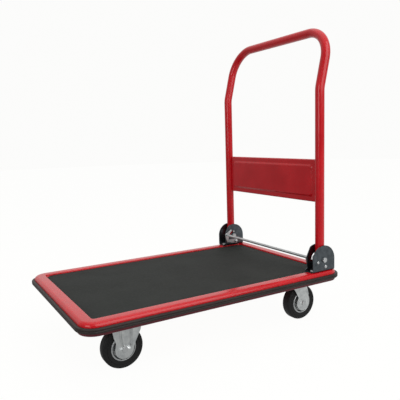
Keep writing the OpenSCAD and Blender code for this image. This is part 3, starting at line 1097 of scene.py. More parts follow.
@dataclass
class Bracket:
    """A U-shaped bracket that one upright folds in, with its fasteners."""

    side: Side
    sheet: float = 2.5 * MM
    bend: float = 5 * MM
    slot_half: float = 3.4 * MM
    front_edge: tuple[Point2, ...] = ((-27.5 * MM, 0.0), (-24 * MM, 8 * MM), (13 * MM, 8 * MM),
                                      (36 * MM, 20 * MM))

    def build(self) -> None:
        """Builds the bent plate and cuts its slot."""
        lo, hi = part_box("bracket_near")
        mid, half = (lo.x + hi.x) / 2, (hi.x - lo.x) / 2
        pivot_z = hi.z - half
        rails = []
        for y, ny in ((lo.y, -1), (hi.y, 1)):
            leg = []
            for a in (math.pi / 2 * k / 18 for k in range(18, -1, -1)):
                z, start = pivot_z + half * math.sin(a), mid - half * math.cos(a)
                if ny > 0:
                    start = max(start, lo.x + along(self.front_edge, z - pivot_z))
                leg.append(Rail((y, z), (ny, 0), (start, mid + half * math.cos(a))))
            if ny > 0:
                leg += [Rail((y, pivot_z - v), (ny, 0), (lo.x + along(self.front_edge, -v), hi.x))
                        for v in (10 * MM, 19 * MM, 23.5 * MM)]
            corner = [Rail((y - ny * self.bend * (1 - math.cos(a)),
                            lo.z + self.bend * (1 - math.sin(a))),
                           (ny * math.cos(a), -math.sin(a)), (lo.x, hi.x))
                      for a in (math.pi / 2 * k / 6 for k in range(7))]
            rails += leg + corner if ny < 0 else (leg + corner)[::-1]
        made = ribbon(rails, self.sheet, 25).mirrored(self.side)
        piece = eased(made.mesh("bracket_" + self.side.tag + "_bent", 30.0), 0.6 * MM)
        pivot = Vector((mid, 0, pivot_z))
        cutter = self.slot_cutter(pivot, hi.y).mirrored(self.side)
        piece = combined(piece, cutter.mesh("slot_cutter"), "DIFFERENCE")
        hand_over(piece, "chassis", "bracket_zinc", BRACKET, "bracket_" + self.side.tag)

    def slot_cutter(self, pivot: Vector, inner_y: float) -> Shape:
        """The solid of the quarter slot in the inboard plate, where the stop pin runs."""
        low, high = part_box("stop_pins")
        reach, half, quarter = (low.z + high.z) / 2 - pivot.z, self.slot_half, math.pi / 2

        def arc(centre: Point2, r: float, start: float, end: float, steps: int) -> list[Point2]:
            """Points of an arc, its two ends among them."""
            angles = [start + (end - start) * k / steps for k in range(steps + 1)]
            return [(centre[0] + r * math.cos(a), centre[1] + r * math.sin(a)) for a in angles]

        line = arc((0, 0), reach + half, quarter, 2 * quarter, 12)
        line += arc((-reach, 0), half, 2 * quarter, 4 * quarter, 8)[1:-1]
        line += arc((0, 0), reach - half, 2 * quarter, quarter, 12)
        line += arc((0, reach), half, -quarter, quarter, 8)[1:-1]
        start = Vector((pivot.x, inner_y - 2 * self.sheet, pivot.z))
        return extruded(line, start, Vector((1, 0, 0)), Vector((0, 0, 1)),
                        Vector((0, 3 * self.sheet, 0)))


@dataclass
class BracketFasteners:
    """The bolts, nuts, rivets, pins and springs of both brackets."""

    head: float = 5.3 * MM
    nut: float = 6.5 * MM
    pin_r: float = 4.6 * MM
    pin_l: float = 39.6 * MM
    wire: float = 0.6 * MM

    def build(self) -> None:
        """Builds each kind as one piece."""
        lo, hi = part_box("bracket_near")
        mid, half = (lo.x + hi.x) / 2, (hi.x - lo.x) / 2
        pivot_z = hi.z - half
        sides = list(Side)
        places = [(Vector((mid, -s.value * lo.y, pivot_z)), outboard(s)) for s in sides]
        self.set_out("pivot_bolts", HARDWARE.hex_bolt(self.head, 34 * MM), places)
        places = [(Vector((mid, -s.value * hi.y, pivot_z)), inboard(s)) for s in sides]
        self.set_out("pivot_nuts", HARDWARE.hex_nut(self.nut, 1 * MM), places)
        low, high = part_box("bracket_rivets")
        x, z = (low.x + high.x) / 2, (low.z + high.z) / 2
        places = [(Vector((x, -s.value * lo.y, z)), outboard(s)) for s in sides]
        self.set_out("bracket_rivets", HARDWARE.round_head(4 * MM, 1.5 * MM, 3 * MM, 2.5 * MM),
                     places)
        self.build_base_bolts()
        self.build_pins(lo)

    def build_base_bolts(self) -> None:
        """The button heads on the brackets' bases and the nuts under the deck."""
        low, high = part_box("bracket_bolts")
        head_r = 8 * MM
        spots = [(x, s.value * (high.y - head_r)) for x in (low.x + head_r, high.x - head_r)
                 for s in Side]
        top = high.z - 4 * MM
        self.set_out("bracket_bolts", HARDWARE.round_head(head_r, 4 * MM, 4 * MM, 13.5 * MM, 2.9 * MM),
                     [(Vector((x, y, top)), UP) for x, y in spots])
        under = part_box("bracket_nuts")[1].z
        self.set_out("bracket_nuts", HARDWARE.hex_nut(self.nut, 2 * MM),
                     [(Vector((x, y, under)), DOWN) for x, y in spots])

    def build_pins(self, lo: Vector) -> None:
        """The headed pins of the release levers and the springs wound on them."""
        low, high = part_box("lever_pins")
        x, z = (low.x + high.x) / 2, (low.z + high.z) / 2
        pin = HARDWARE.round_head(self.pin_r, 1.5 * MM, 3 * MM, self.pin_l)
        pin.add(HARDWARE.round_head(self.pin_r, 1.5 * MM, 3 * MM, 1 * MM),
                Matrix.Translation((0, 0, -self.pin_l)) @ Matrix.Rotation(math.pi, 4, "X"))
        self.set_out("lever_pins", pin,
                     [(Vector((x, -s.value * lo.y, z)), outboard(s)) for s in Side])
        low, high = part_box("lever_springs")
        made = Shape()
        for side in Side:
            start = Vector((low.x, side.value * (high.y - self.wire), low.z + self.wire))
            made.add(swept_tube([start, start + Vector((14 * MM, 0, 0)),
                                 start + Vector((20 * MM, 0, 0.1 * MM))], self.wire, 0.01 * MM, 8))
        piece = made.mesh("lever_springs_wound")
        for side in Side:
            run_tree(piece, COIL.tree, {
                "Radius": high.x - x - self.wire, "Height": 3.6 * self.wire, "Turns": 1.9,
                "Wire": self.wire, "Finish": PAINTS.of(SPRING),
                "Place": (x, side.value * (high.y - self.wire), z),
                "Turned": (side.value * math.pi / 2, 0.0, 0.0),
            })
        smooth(piece, 50.0)
        hand_over(piece, "chassis", "bracket_zinc", SPRING, "lever_springs")

    def set_out(self, node: str, part: Shape, places: list[tuple[Vector, Vector]]) -> None:
        """Makes one kind of fastener and hands it over for its CAD node."""
        hand_over(COPIES.make(node + "_detailed", part, places, FASTENER),
                  "chassis", "hardware_zinc", FASTENER, node)


@dataclass
class Handle:
    """The push handle: bent tube, pressed panel, bushes and stop pins."""

    wall: float = 1.5 * MM
    kink_z: float = 640 * MM
    kink_r: float = 70 * MM
    lean: float = math.radians(13.5)
    corner: float = 82 * MM
    sheet: float = 1.5 * MM
    raised: float = 3 * MM
    border: float = 15 * MM

    def build(self) -> None:
        """Builds every piece of the handle."""
        self.build_tube()
        self.build_panel()
        self.build_welds()
        self.build_pivots()

    def path(self) -> list[Vector]:
        """The tube's centre line, from the near foot to the far one."""
        lo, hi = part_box("handle_tube")
        r = (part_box("handle_tube")[1].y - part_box("pivot_bushes")[1].y) + 13.4 * MM
        x, y, foot, bar = lo.x + r, hi.y - r, lo.z, hi.z - r
        half = [Vector((x, -y, foot + (self.kink_z - foot) * k / 6)) for k in range(6)]
        for k in range(9):
            a = self.lean * k / 8
            half.append(Vector((x + self.kink_r * (1 - math.cos(a)), -y,
                                self.kink_z + self.kink_r * math.sin(a))))
        slope = Vector((math.sin(self.lean), 0, math.cos(self.lean)))
        rise = bar - self.kink_z - self.kink_r * math.sin(self.lean)
        end = half[-1] + slope * (rise / slope.z - self.corner)
        centre = end + Vector((0, self.corner, 0))
        for k in range(19):
            a = math.pi / 2 * k / 18
            half.append(centre + Vector((0, -math.cos(a), 0)) * self.corner
                        + slope * math.sin(a) * self.corner)
        return half + [Vector((p.x, -p.y, p.z)) for p in half[::-1]]

    def build_tube(self) -> None:
        """The bent tube, open at its two feet."""
        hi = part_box("handle_tube")[1]
        r = (hi.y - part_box("pivot_bushes")[1].y) + 13.4 * MM
        made = swept_tube(self.path(), r, r - self.wall, 40)
        hand_over(made.mesh("handle_bent_tube", 50.0), "handle", "red_paint", PAINT,
                  "handle_tube")

    def build_panel(self) -> None:
        """The pressed panel: raised field, bent flanges and folded corners."""
        lo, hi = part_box("handle_panel")
        half, x = hi.y, lo.x + self.raised
        bend, flange = 3 * MM, hi.x - lo.x - self.raised
        line = rounded([(x + flange, lo.z, 0), (x, lo.z, bend), (x, hi.z, bend),
                        (x + flange, hi.z, 0)], closed=False, steps=6)
        stops = [line[0]]
        for a, b in zip(line, line[1:]):
            count = max(1, round(math.dist(a, b) / (1.6 * MM)))
            stops += [(a[0] + (b[0] - a[0]) * k / count, a[1] + (b[1] - a[1]) * k / count)
                      for k in range(1, count + 1)]
        ys = self.panel_columns(half)
        mid = (lo.z + hi.z) / 2
        field = (half - self.border, (hi.z - lo.z) / 2 - self.border)
        front, rear = [], []
        for i, (px, pz) in enumerate(stops):
            a, b = Vector(stops[max(i - 1, 0)]), Vector(stops[min(i + 1, len(stops) - 1)])
            ahead = (b - a).normalized()
            out = Vector((-ahead.y, ahead.x))
            trim = 2 * MM * smoothstep(x + 1 * MM, x + 4 * MM, px)
            rows = ([], [])
            for y in ys:
                y *= 1 - trim / half
                lift = self.raised * self.field_height(y, pz - mid, field)
                for row, depth in zip(rows, (lift, lift - self.sheet)):
                    row.append(Vector((px + out.x * depth, y, pz + out.y * depth)))
            front.append(rows[0])
            rear.append(rows[1])
        made = Shape()
        rings = [f + r[::-1] for f, r in zip(front, rear)]
        made.grid(rings, ring=True)
        made.cap(rings[0])
        made.cap(rings[-1][::-1])
        hand_over(made.mesh("handle_pressed_panel", 40.0), "handle", "red_paint", PAINT,
                  "handle_panel")

    def panel_columns(self, half: float) -> list[float]:
        """Places across the panel, close together where the field's edge is."""
        edge = half - self.border - 12 * MM
        inner = [edge * k / 24 for k in range(25)]
        outer = [edge + (half - edge) * k / 22 for k in range(1, 23)]
        right = inner + outer
        return [-y for y in right[:0:-1]] + right

    def field_height(self, y: float, z: float, field: Point2) -> float:
        """How far the raised field stands up at a place, from 0 to 1."""
        r = 9 * MM
        dy, dz = abs(y) - field[0] + r, abs(z) - field[1] + r
        inside = min(max(dy, dz), 0.0) + math.hypot(max(dy, 0.0), max(dz, 0.0)) - r
        return 1 - smoothstep(-4 * MM, 1 * MM, inside)

    def build_welds(self) -> None:
        """Weld stitches between the panel's ends and the uprights, on the rear side."""
        lo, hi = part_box("handle_panel")
        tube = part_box("handle_tube")[0].x + 12.5 * MM
        places = []
        for side in Side:
            for z in (0.14, 0.5, 0.86):
                for k in range(14):
                    spot = Vector((tube + 2.2 * MM, side.value * (hi.y - 0.4 * MM),
                                   lo.z + (hi.z - lo.z) * z + (k - 6.5) * 1.6 * MM))
                    places.append((spot, Vector((0.0, math.pi / 2, 0.0))))
        hand_over(COPIES.make("panel_welds", HARDWARE.weld_ripple(), places, PAINT), "handle",
                  "red_paint", PAINT)

    def build_pivots(self) -> None:
        """The flanged bushes that the pivot bolts pass, and the stop pins."""
        low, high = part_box("pivot_bushes")
        half = 13.4 * MM
        r, bore, x, z = (high.x - low.x) / 2, 4.05 * MM, (low.x + high.x) / 2, (low.z + high.z) / 2
        e = 0.4 * MM
        bush = lathed([(bore, -half + e), (bore + e, -half), (r - e, -half), (r, -half + e),
                       (r, half - e), (r - e, half), (bore + e, half), (bore, half - e)],
                      32, closed=True)
        places = [(Vector((x, s.value * (high.y - half), z)), outboard(s)) for s in Side]
        hand_over(COPIES.make("pivot_bushes_turned", bush, places, WHEEL_STEEL), "handle",
                  "hardware_zinc", WHEEL_STEEL, "pivot_bushes")
        low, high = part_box("stop_pins")
        r, x, z, length = (high.x - low.x) / 2, (low.x + high.x) / 2, (low.z + high.z) / 2, 31 * MM
        pin = lathed([(0, 0), (r - e, 0), (r, e), (r, length - 2 * e), (r - 2 * e, length),
                      (0, length)], 24)
        outer = high.y
        places = [(Vector((x, s.value * outer, z)), inboard(s)) for s in Side]
        hand_over(COPIES.make("stop_pins_turned", pin, places, FASTENER), "handle",
                  "hardware_zinc", FASTENER, "stop_pins")


@dataclass
class ReleaseLever:
    """The foot-operated release: a rod across the deck with a latch at each end."""

    sheet: float = 3 * MM
    rod_r: float = 4 * MM
    eye_r: float = 6.4 * MM
    nose_r: float = 3.5 * MM
    nose_x: float = 12.5 * MM
    boss_r: float = 8 * MM
    elbow: Point2 = (-26 * MM, -17 * MM)

    def build(self) -> None:
        """Builds the two latch plates and the rod."""
        lo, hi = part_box("release_lever_near")
        rod_lo, rod_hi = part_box("release_rod")
        pin_lo, pin_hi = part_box("lever_pins")
        rod = ((rod_lo.x + rod_hi.x) / 2, (rod_lo.z + rod_hi.z) / 2)
        pin = ((pin_lo.x + pin_hi.x) / 2, (pin_lo.z + pin_hi.z) / 2)
        low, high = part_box("pivot_nuts")
        pivot = ((low.x + high.x) / 2, (low.z + high.z) / 2)
        nose = (pivot[0] - self.nose_x, hi.z - self.nose_r)
        elbow = (pivot[0] + self.elbow[0], pivot[1] + self.elbow[1])
        x, z, depth = Vector((1, 0, 0)), Vector((0, 0, 1)), Vector((0, self.sheet, 0))
        for side in Side:
            start, name, piece = Vector((0, lo.y, 0)), "release_lever_" + side.tag, None
            for k, (a, b, ra, rb) in enumerate(((pin, elbow, self.boss_r, self.rod_r),
                                                (elbow, rod, self.rod_r, self.eye_r),
                                                (rod, nose, self.eye_r * 0.9, self.nose_r))):
                inset = Vector((0, 0.01 * MM * k, 0))
                arm = plate([strap_outline(a, b, ra, rb)], start + inset, x, z,
                            depth - 2 * inset, 0.4 * MM)
                arm_piece = arm.mirrored(side).mesh(name + "_latch")
                piece = combined(piece, arm_piece, "UNION") if piece else arm_piece
            hand_over(piece, "release_lever", "hardware_zinc", FASTENER, name)
        e, half, r = 0.8 * MM, rod_hi.y, self.rod_r
        rod_shape = turned([(0.02 * MM, -half), (r - e, -half), (r, -half + e), (r, half - e),
                            (r - e, half), (0.02 * MM, half)], Vector((rod[0], 0, rod[1])), 32)
        hand_over(rod_shape.mesh("release_rod_turned"), "release_lever", "hardware_zinc",
                  FASTENER, "release_rod")


# ------------------------------------------------------------------ casters


@dataclass
class Wheel:
    """A rubber tyre on a pressed steel centre with a hub tube."""

    name: str
    side: Side
    barrel: float = 28.5 * MM
    lip: float = 30.5 * MM
    groove: float = 39.2 * MM
    hub_r: float = 13 * MM
    bush_r: float = 9 * MM
    bore: float = 4.05 * MM
    hub_w: float = 32 * MM
    shoulder: float = 7 * MM

    def build(self) -> None:
        """Builds the tyre, the centre and the hub."""
        tag = self.name + "_" + self.side.tag
        lo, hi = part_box("tyre_" + tag)
        centre, r, half = (lo + hi) / 2, (hi.z - lo.z) / 2, (hi.y - lo.y) / 2
        body = "wheel_" + tag
        tyre = [(self.barrel, -half + 1 * MM, 0), (self.lip, -half + 1 * MM, 0),
                (self.lip + 0.2 * MM, -half, 0.2 * MM), (self.groove, -half, 0.3 * MM),
                (self.groove + 0.5 * MM, -half + 0.7 * MM, 0.3 * MM),
                (self.groove + 1.2 * MM, -half + 0.7 * MM, 0.3 * MM),
                (self.groove + 1.7 * MM, -half, 0.3 * MM), (r, -half, self.shoulder)]
        tyre += [(a, -b, c) for a, b, c in tyre[::-1]]
        piece = turned(rounded(tyre, steps=8), centre, 120).mesh("tyre_moulded_" + tag, 40.0)
        hand_over(piece, body, "tyre", TYRE, "tyre_" + tag)
        wheel = [(self.lip, -half + 1 * MM, 0.3 * MM), (self.lip, -half + 0.2 * MM, 0.3 * MM),
                 (self.barrel + 0.4 * MM, -half - 0.9 * MM, 0.8 * MM),
                 (self.barrel - 1.2 * MM, -half - 0.9 * MM, 0.8 * MM),
                 (self.barrel - 2 * MM, -half + 1 * MM, 0.6 * MM),
                 (self.barrel - 2 * MM, -3 * MM, 2 * MM),
                 (24 * MM, -1.5 * MM, 1.5 * MM), (20 * MM, -1.5 * MM, 1.5 * MM),
                 (17.5 * MM, -4 * MM, 1.5 * MM), (self.hub_r, -4 * MM, 1.5 * MM),
                 (self.hub_r, -self.hub_w / 2, 0.6 * MM), (self.bush_r, -self.hub_w / 2, 0)]
        wheel = [(self.barrel, -half + 1 * MM, 0)] + wheel
        wheel += [(a, -b, c) for a, b, c in wheel[::-1]]
        piece = turned(rounded(wheel, steps=5), centre, 96).mesh("wheel_centre_" + tag, 30.0)
        hand_over(piece, body, "rim_zinc", WHEEL_STEEL, "rim_" + tag)
        e, w = 0.5 * MM, self.hub_w / 2
        hub = [(self.bore, -w + e), (self.bore + e, -w), (self.bush_r, -w), (self.bush_r, w),
               (self.bore + e, w), (self.bore, w - e)]
        piece = turned(hub, centre, 48).mesh("hub_bush_" + tag, 30.0)
        hand_over(piece, body, "hardware_zinc", SPRING, "hub_" + tag)


@dataclass
class ForkLeg:
    """A pressed fork leg: its outline by height, its foot and the sheet's thickness."""

    left: list[Point2]
    right: list[Point2]
    foot_r: float
    sheet: float = 2.5 * MM
    step: float = 1.6 * MM
    columns: int = 57

    def build(self, axle: Vector, top: float, face: float, out: int,
              press: Callable[[float, float], float]) -> Shape:
        """Builds one leg.

        Args:
            axle: the axle's place.
            top: the leg's upper end.
            face: Y of the leg's outer face.
            out: the sign of Y on which the outer face looks.
            press: how far the sheet is pressed outwards, from x and z on the trolley.

        Returns:
            The leg.
        """
        count = int((top - axle.z) / self.step)
        heights = [top + (axle.z - top) * k / count for k in range(count)]
        heights += [axle.z - self.foot_r * math.sin(math.pi / 2 * k / 18) for k in range(19)]
        rails = []
        for z in heights:
            drop = min(abs(z - axle.z), self.foot_r)
            chord = math.sqrt(self.foot_r ** 2 - drop ** 2)
            x0, x1 = -chord, chord
            if z > axle.z:
                x0 = min(-chord, along(self.left, z - axle.z))
                x1 = max(chord, along(self.right, z - axle.z))
            rails.append(Rail((face, z), (out, 0), (axle.x + x0, axle.x + x1)))
        return ribbon(rails, self.sheet, self.columns, press)


@dataclass
class FixedCaster:
    """A rigid caster: plate and two ribbed legs in one pressing, with its axle."""

    side: Side
    gap: float = 35 * MM
    sheet: float = 2.5 * MM
    hole_dx: float = 80 * MM
    hole_dy: float = 60 * MM
    rib: float = 3.4 * MM
    dome: float = 2.4 * MM

    def build(self) -> None:
        """Builds the fork."""
        tag = self.side.tag
        lo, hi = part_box("fixed_fork_" + tag)
        axle = sum(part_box("tyre_fixed_" + tag), Vector()) / 2
        centre = Vector(((lo.x + hi.x) / 2, (lo.y + hi.y) / 2, hi.z - self.sheet))
        made = caster_plate(centre, hi - lo, self.sheet, self.hole_dx, self.hole_dy)
        leg = ForkLeg([(0.0, -23 * MM), (8 * MM, -21.6 * MM), (17 * MM, -20 * MM),
                       (31 * MM, -25 * MM), (76 * MM, -32 * MM)],
                      [(0.0, 23 * MM), (13 * MM, 28 * MM), (29 * MM, 36.6 * MM),
                       (40 * MM, 42 * MM), (76 * MM, 46 * MM)], 23 * MM)

        def press(x: float, z: float) -> float:
            """Two ribs, the channel between them, the axle's dome and the top bend."""
            u, v = x - axle.x, z - axle.z
            front = along([(2 * MM, -4 * MM), (30 * MM, -8.5 * MM), (76 * MM, -11 * MM)], v)
            rear = along([(2 * MM, 16.5 * MM), (35 * MM, 18 * MM), (76 * MM, 20 * MM)], v)
            low, high = abs(u - front), abs(u - rear)
            rib = self.rib * smoothstep(4 * MM, 16 * MM, v) * (1 - smoothstep(0.0, 4 * MM, low))
            rib += 1.2 * self.rib * smoothstep(1 * MM, 9 * MM, v) * (
                1 - smoothstep(0.0, 5 * MM, high))
            floor = -0.9 * MM * smoothstep(0.0, 3 * MM, u - front) * smoothstep(
                0.0, 4 * MM, rear - u) * smoothstep(-1 * MM, 3 * MM, v)
            dome = self.dome * (1 - smoothstep(9 * MM, 22 * MM, math.hypot(u, v + 3 * MM)))
            dome *= 1 - smoothstep(-2 * MM, 10 * MM, v)
            bend = max(0.0, z - (centre.z - 5 * MM)) / (5 * MM)
            return rib + floor + dome + 5 * MM * (1 - math.sqrt(max(0.0, 1 - min(bend, 1.0) ** 2)))

        for out in (-1, 1):
            face = axle.y + out * (self.gap / 2 + self.sheet)
            made.add(leg.build(axle, centre.z + 0.5 * MM, face, out, press))
        piece = made.mesh("fixed_fork_pressed_" + tag, 35.0)
        hand_over(eased(piece, 0.5 * MM, 50.0), "chassis", "fork_zinc", FORK, "fixed_fork_" + tag)


def caster_plate(under: Vector, size: Vector, sheet: float, dx: float, dy: float) -> Shape:
    """A caster's top plate with its four bolt holes.

    Args:
        under: the middle of the plate's underside.
        size: the plate's length and width.
        sheet: its thickness.
        dx: spacing of the holes along the trolley.
        dy: spacing of the holes across it.

    Returns:
        The plate.
    """
    half_l, half_w, r = size.x / 2, size.y / 2, 8 * MM
    outline = rounded([(half_l, -half_w, r), (half_l, half_w, r), (-half_l, half_w, r),
                       (-half_l, -half_w, r)])
    holes = [disc_outline(sx * dx / 2, sy * dy / 2, 4.2 * MM, 20) for sx in (-1, 1) for sy in (-1, 1)]
    return plate([outline] + holes, under, Vector((1, 0, 0)), Vector((0, 1, 0)),
                 Vector((0, 0, sheet)), 0.4 * MM)


@dataclass
class SwivelCaster:
    """A swivel caster: plate with its race, kingpin, balls and a trailing fork."""

    side: Side
    gap: float = 35 * MM
    sheet: float = 2.5 * MM
    hole_dx: float = 80 * MM
    hole_dy: float = 60 * MM
    race_r: float = 20 * MM
    balls: int = 16

    def build(self) -> None:
        """Builds the plate with its race, the balls, the fork and the axle's fasteners."""
        tag = self.side.tag
        lo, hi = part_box("swivel_plate_" + tag)
        king = Vector(((lo.x + hi.x) / 2, (lo.y + hi.y) / 2, 0))
        under = Vector((king.x, king.y, hi.z - self.sheet))
        made = caster_plate(under, hi - lo, self.sheet, self.hole_dx, self.hole_dy)
        cup = rounded([(13.5 * MM, lo.z + 2.2 * MM, 1 * MM), (13.5 * MM, under.z + 0.2 * MM, 0),
                       (28 * MM, under.z + 0.2 * MM, 0), (27 * MM, lo.z, 1.6 * MM),
                       (23.6 * MM, lo.z, 0.6 * MM), (22.6 * MM, lo.z + 2.0 * MM, 1 * MM),
                       (17.4 * MM, lo.z + 2.6 * MM, 1 * MM)], steps=4)
        made.add(lathed(cup, 64, closed=True), Matrix.Translation(king))
        hand_over(made.mesh("swivel_plate_pressed_" + tag, 30.0), "chassis", "fork_zinc", FORK,
                  "swivel_plate_" + tag)
        self.build_balls(king)
        self.build_fork(king)
        self.build_axle()

    def build_balls(self, king: Vector) -> None:
        """The balls of the swivel race."""
        lo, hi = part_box("swivel_balls_" + self.side.tag)
        z, r = (lo.z + hi.z) / 2, (hi.z - lo.z) / 2
        ball = lathed([(r * math.sin(a), -r * math.cos(a))
                       for a in (math.pi * k / 8 for k in range(9))], 12)
        places = []
        for k in range(self.balls):
            a = 2 * math.pi * k / self.balls
            places.append((Vector((king.x + self.race_r * math.cos(a),
                                   king.y + self.race_r * math.sin(a), z)), UP))
        name = "swivel_balls_" + self.side.tag
        hand_over(COPIES.make(name + "_ground", ball, places, BEARING),
                  "swivel_" + self.side.tag, "hardware_zinc", BEARING, name)

    def build_fork(self, king: Vector) -> None:
        """The crown with its race and the two trailing legs."""
        tag = self.side.tag
        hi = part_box("swivel_fork_" + tag)[1]
        axle = sum(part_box("tyre_swivel_" + tag), Vector()) / 2
        under, crown = hi.z - 6 * MM, hi.z - 3.5 * MM
        cup = rounded([(6.2 * MM, under, 0), (27 * MM, under, 2.5 * MM), (27 * MM, hi.z, 0.8 * MM),
                       (23.6 * MM, hi.z, 0.8 * MM), (22.8 * MM, crown + 1.2 * MM, 1 * MM),
                       (17.2 * MM, crown + 1.2 * MM, 1 * MM), (14 * MM, crown + 0.2 * MM, 0.5 * MM),
                       (6.2 * MM, crown, 0)], steps=4)
        made = lathed(cup, 64, closed=True)
        made = Shape().add(made, Matrix.Translation(king))
        half = self.gap / 2 + self.sheet
        bridge = rounded([(-18 * MM, -half, 0), (30 * MM, -half, 4 * MM), (30 * MM, half, 4 * MM),
                          (-18 * MM, half, 0)])
        made.add(plate([bridge], Vector((king.x, king.y, under + 0.1 * MM)), Vector((1, 0, 0)),
                       Vector((0, 1, 0)), Vector((0, 0, 2.2 * MM)), 0.3 * MM))
        leg = ForkLeg([(0.0, -22 * MM), (6 * MM, -21.2 * MM), (12 * MM, -18.4 * MM),
                       (17 * MM, -16 * MM), (41 * MM, -29 * MM), (58 * MM, -47 * MM),
                       (66 * MM, -50 * MM)],
                      [(0.0, 22 * MM), (10 * MM, 21.4 * MM), (22 * MM, 20 * MM),
                       (33 * MM, 17 * MM), (52 * MM, 14 * MM), (66 * MM, 4 * MM)], 22 * MM)

        def press(x: float, z: float) -> float:
            """A shallow panel down the leg, the axle's dome, and a lip on the rear edge."""
            u, v = x - axle.x, z - axle.z
            spine = along([(-22 * MM, 0.0), (14 * MM, 0.0), (60 * MM, -16 * MM)], v)
            panel = 1.6 * MM * smoothstep(10 * MM, 22 * MM, v) * (
                1 - smoothstep(5 * MM, 10 * MM, abs(u - spine)))
            dish = 2.4 * MM * (1 - smoothstep(8 * MM, 20 * MM, math.hypot(u, v + 3 * MM)))
            dish *= 1 - smoothstep(-2 * MM, 10 * MM, v)
            lip = 2 * MM * smoothstep(along(leg.right, v) - 4 * MM, along(leg.right, v), u)
            return panel + dish + lip * smoothstep(20 * MM, 24 * MM, v) * (
                1 - smoothstep(38 * MM, 44 * MM, v))

        for out in (-1, 1):
            face = axle.y + out * half
            made.add(leg.build(axle, crown - 0.2 * MM, face, out, press))
        piece = made.mesh("swivel_fork_pressed_" + tag, 35.0)
        hand_over(eased(piece, 0.5 * MM, 50.0), "swivel_" + tag, "fork_zinc", FORK,
                  "swivel_fork_" + tag)

    def build_axle(self) -> None:
        """The axle's bolt and nut, which turn with the fork."""
        tag = self.side.tag
        axle = sum(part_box("tyre_swivel_" + tag), Vector()) / 2
        half = self.gap / 2 + self.sheet
        for kind, part, turn, reach in (
            ("bolt", HARDWARE.hex_bolt(5.3 * MM, 41 * MM), outboard(self.side), self.side.value),
            ("nut", HARDWARE.hex_nut(6.5 * MM, 1 * MM), inboard(self.side), -self.side.value),
        ):
            node = f"swivel_{kind}_{tag}"
            spot = Vector((axle.x, axle.y + reach * half, axle.z))
            hand_over(COPIES.make(node + "_detailed", part, [(spot, turn)], FASTENER),
                      "swivel_" + tag, "hardware_zinc", FASTENER, node)


@dataclass
class CasterFasteners:
    """The bolts and nuts that hold the casters, the fixed axles and the kingpins."""

    hole_dx: float = 80 * MM
    hole_dy: float = 60 * MM
    half_fork: float = 20 * MM

    def build(self) -> None:
        """Builds each kind as one piece."""
        spots = []
        for name in ("fixed_fork_", "swivel_plate_"):
            for side in Side:
                lo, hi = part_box(name + side.tag)
                mid = (lo + hi) / 2
                spots += [(mid.x + sx * self.hole_dx / 2, mid.y + sy * self.hole_dy / 2)
                          for sx in (-1, 1) for sy in (-1, 1)]
        plate_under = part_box("caster_bolts")[0].z + 5.3 * MM
        self.set_out("caster_bolts", HARDWARE.hex_bolt(5.3 * MM, 12 * MM),
                     [(Vector((x, y, plate_under)), DOWN) for x, y in spots])
        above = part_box("caster_nuts")[0].z
        self.set_out("caster_nuts", HARDWARE.hex_nut(6.5 * MM, 1 * MM),
                     [(Vector((x, y, above)), UP) for x, y in spots])
        axles = [(s, sum(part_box("tyre_fixed_" + s.tag), Vector()) / 2) for s in Side]
        self.set_out("fixed_axle_bolts", HARDWARE.hex_bolt(5.3 * MM, 41 * MM),
                     [(a + Vector((0, s.value * self.half_fork, 0)), outboard(s)) for s, a in axles])
        self.set_out("fixed_axle_nuts", HARDWARE.hex_nut(6.5 * MM, 1 * MM),
                     [(a - Vector((0, s.value * self.half_fork, 0)), inboard(s)) for s, a in axles])
        lo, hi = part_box("kingpins")
        head = rounded([(0, 0, 0), (9 * MM, 0, 1 * MM), (11 * MM, 1.4 * MM, 0.6 * MM),
                        (11 * MM, 3.5 * MM, 0.4 * MM), (6 * MM, 3.5 * MM, 0),
                        (6 * MM, hi.z - lo.z - 0.6 * MM, 0.3 * MM), (5.4 * MM, hi.z - lo.z, 0),
                        (0, hi.z - lo.z, 0)], closed=False)
        places = []
        for side in Side:
            low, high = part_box("swivel_plate_" + side.tag)
            places.append((Vector(((low.x + high.x) / 2, (low.y + high.y) / 2, lo.z)), UP))
        self.set_out("kingpins", lathed(head, 40), places)

    def set_out(self, node: str, part: Shape, places: list[tuple[Vector, Vector]]) -> None:
        """Makes one kind of fastener and hands it over for its CAD node."""
        hand_over(COPIES.make(node + "_detailed", part, places, FASTENER),
                  "chassis", "hardware_zinc", FASTENER, node)


# ------------------------------------------------------------------ studio


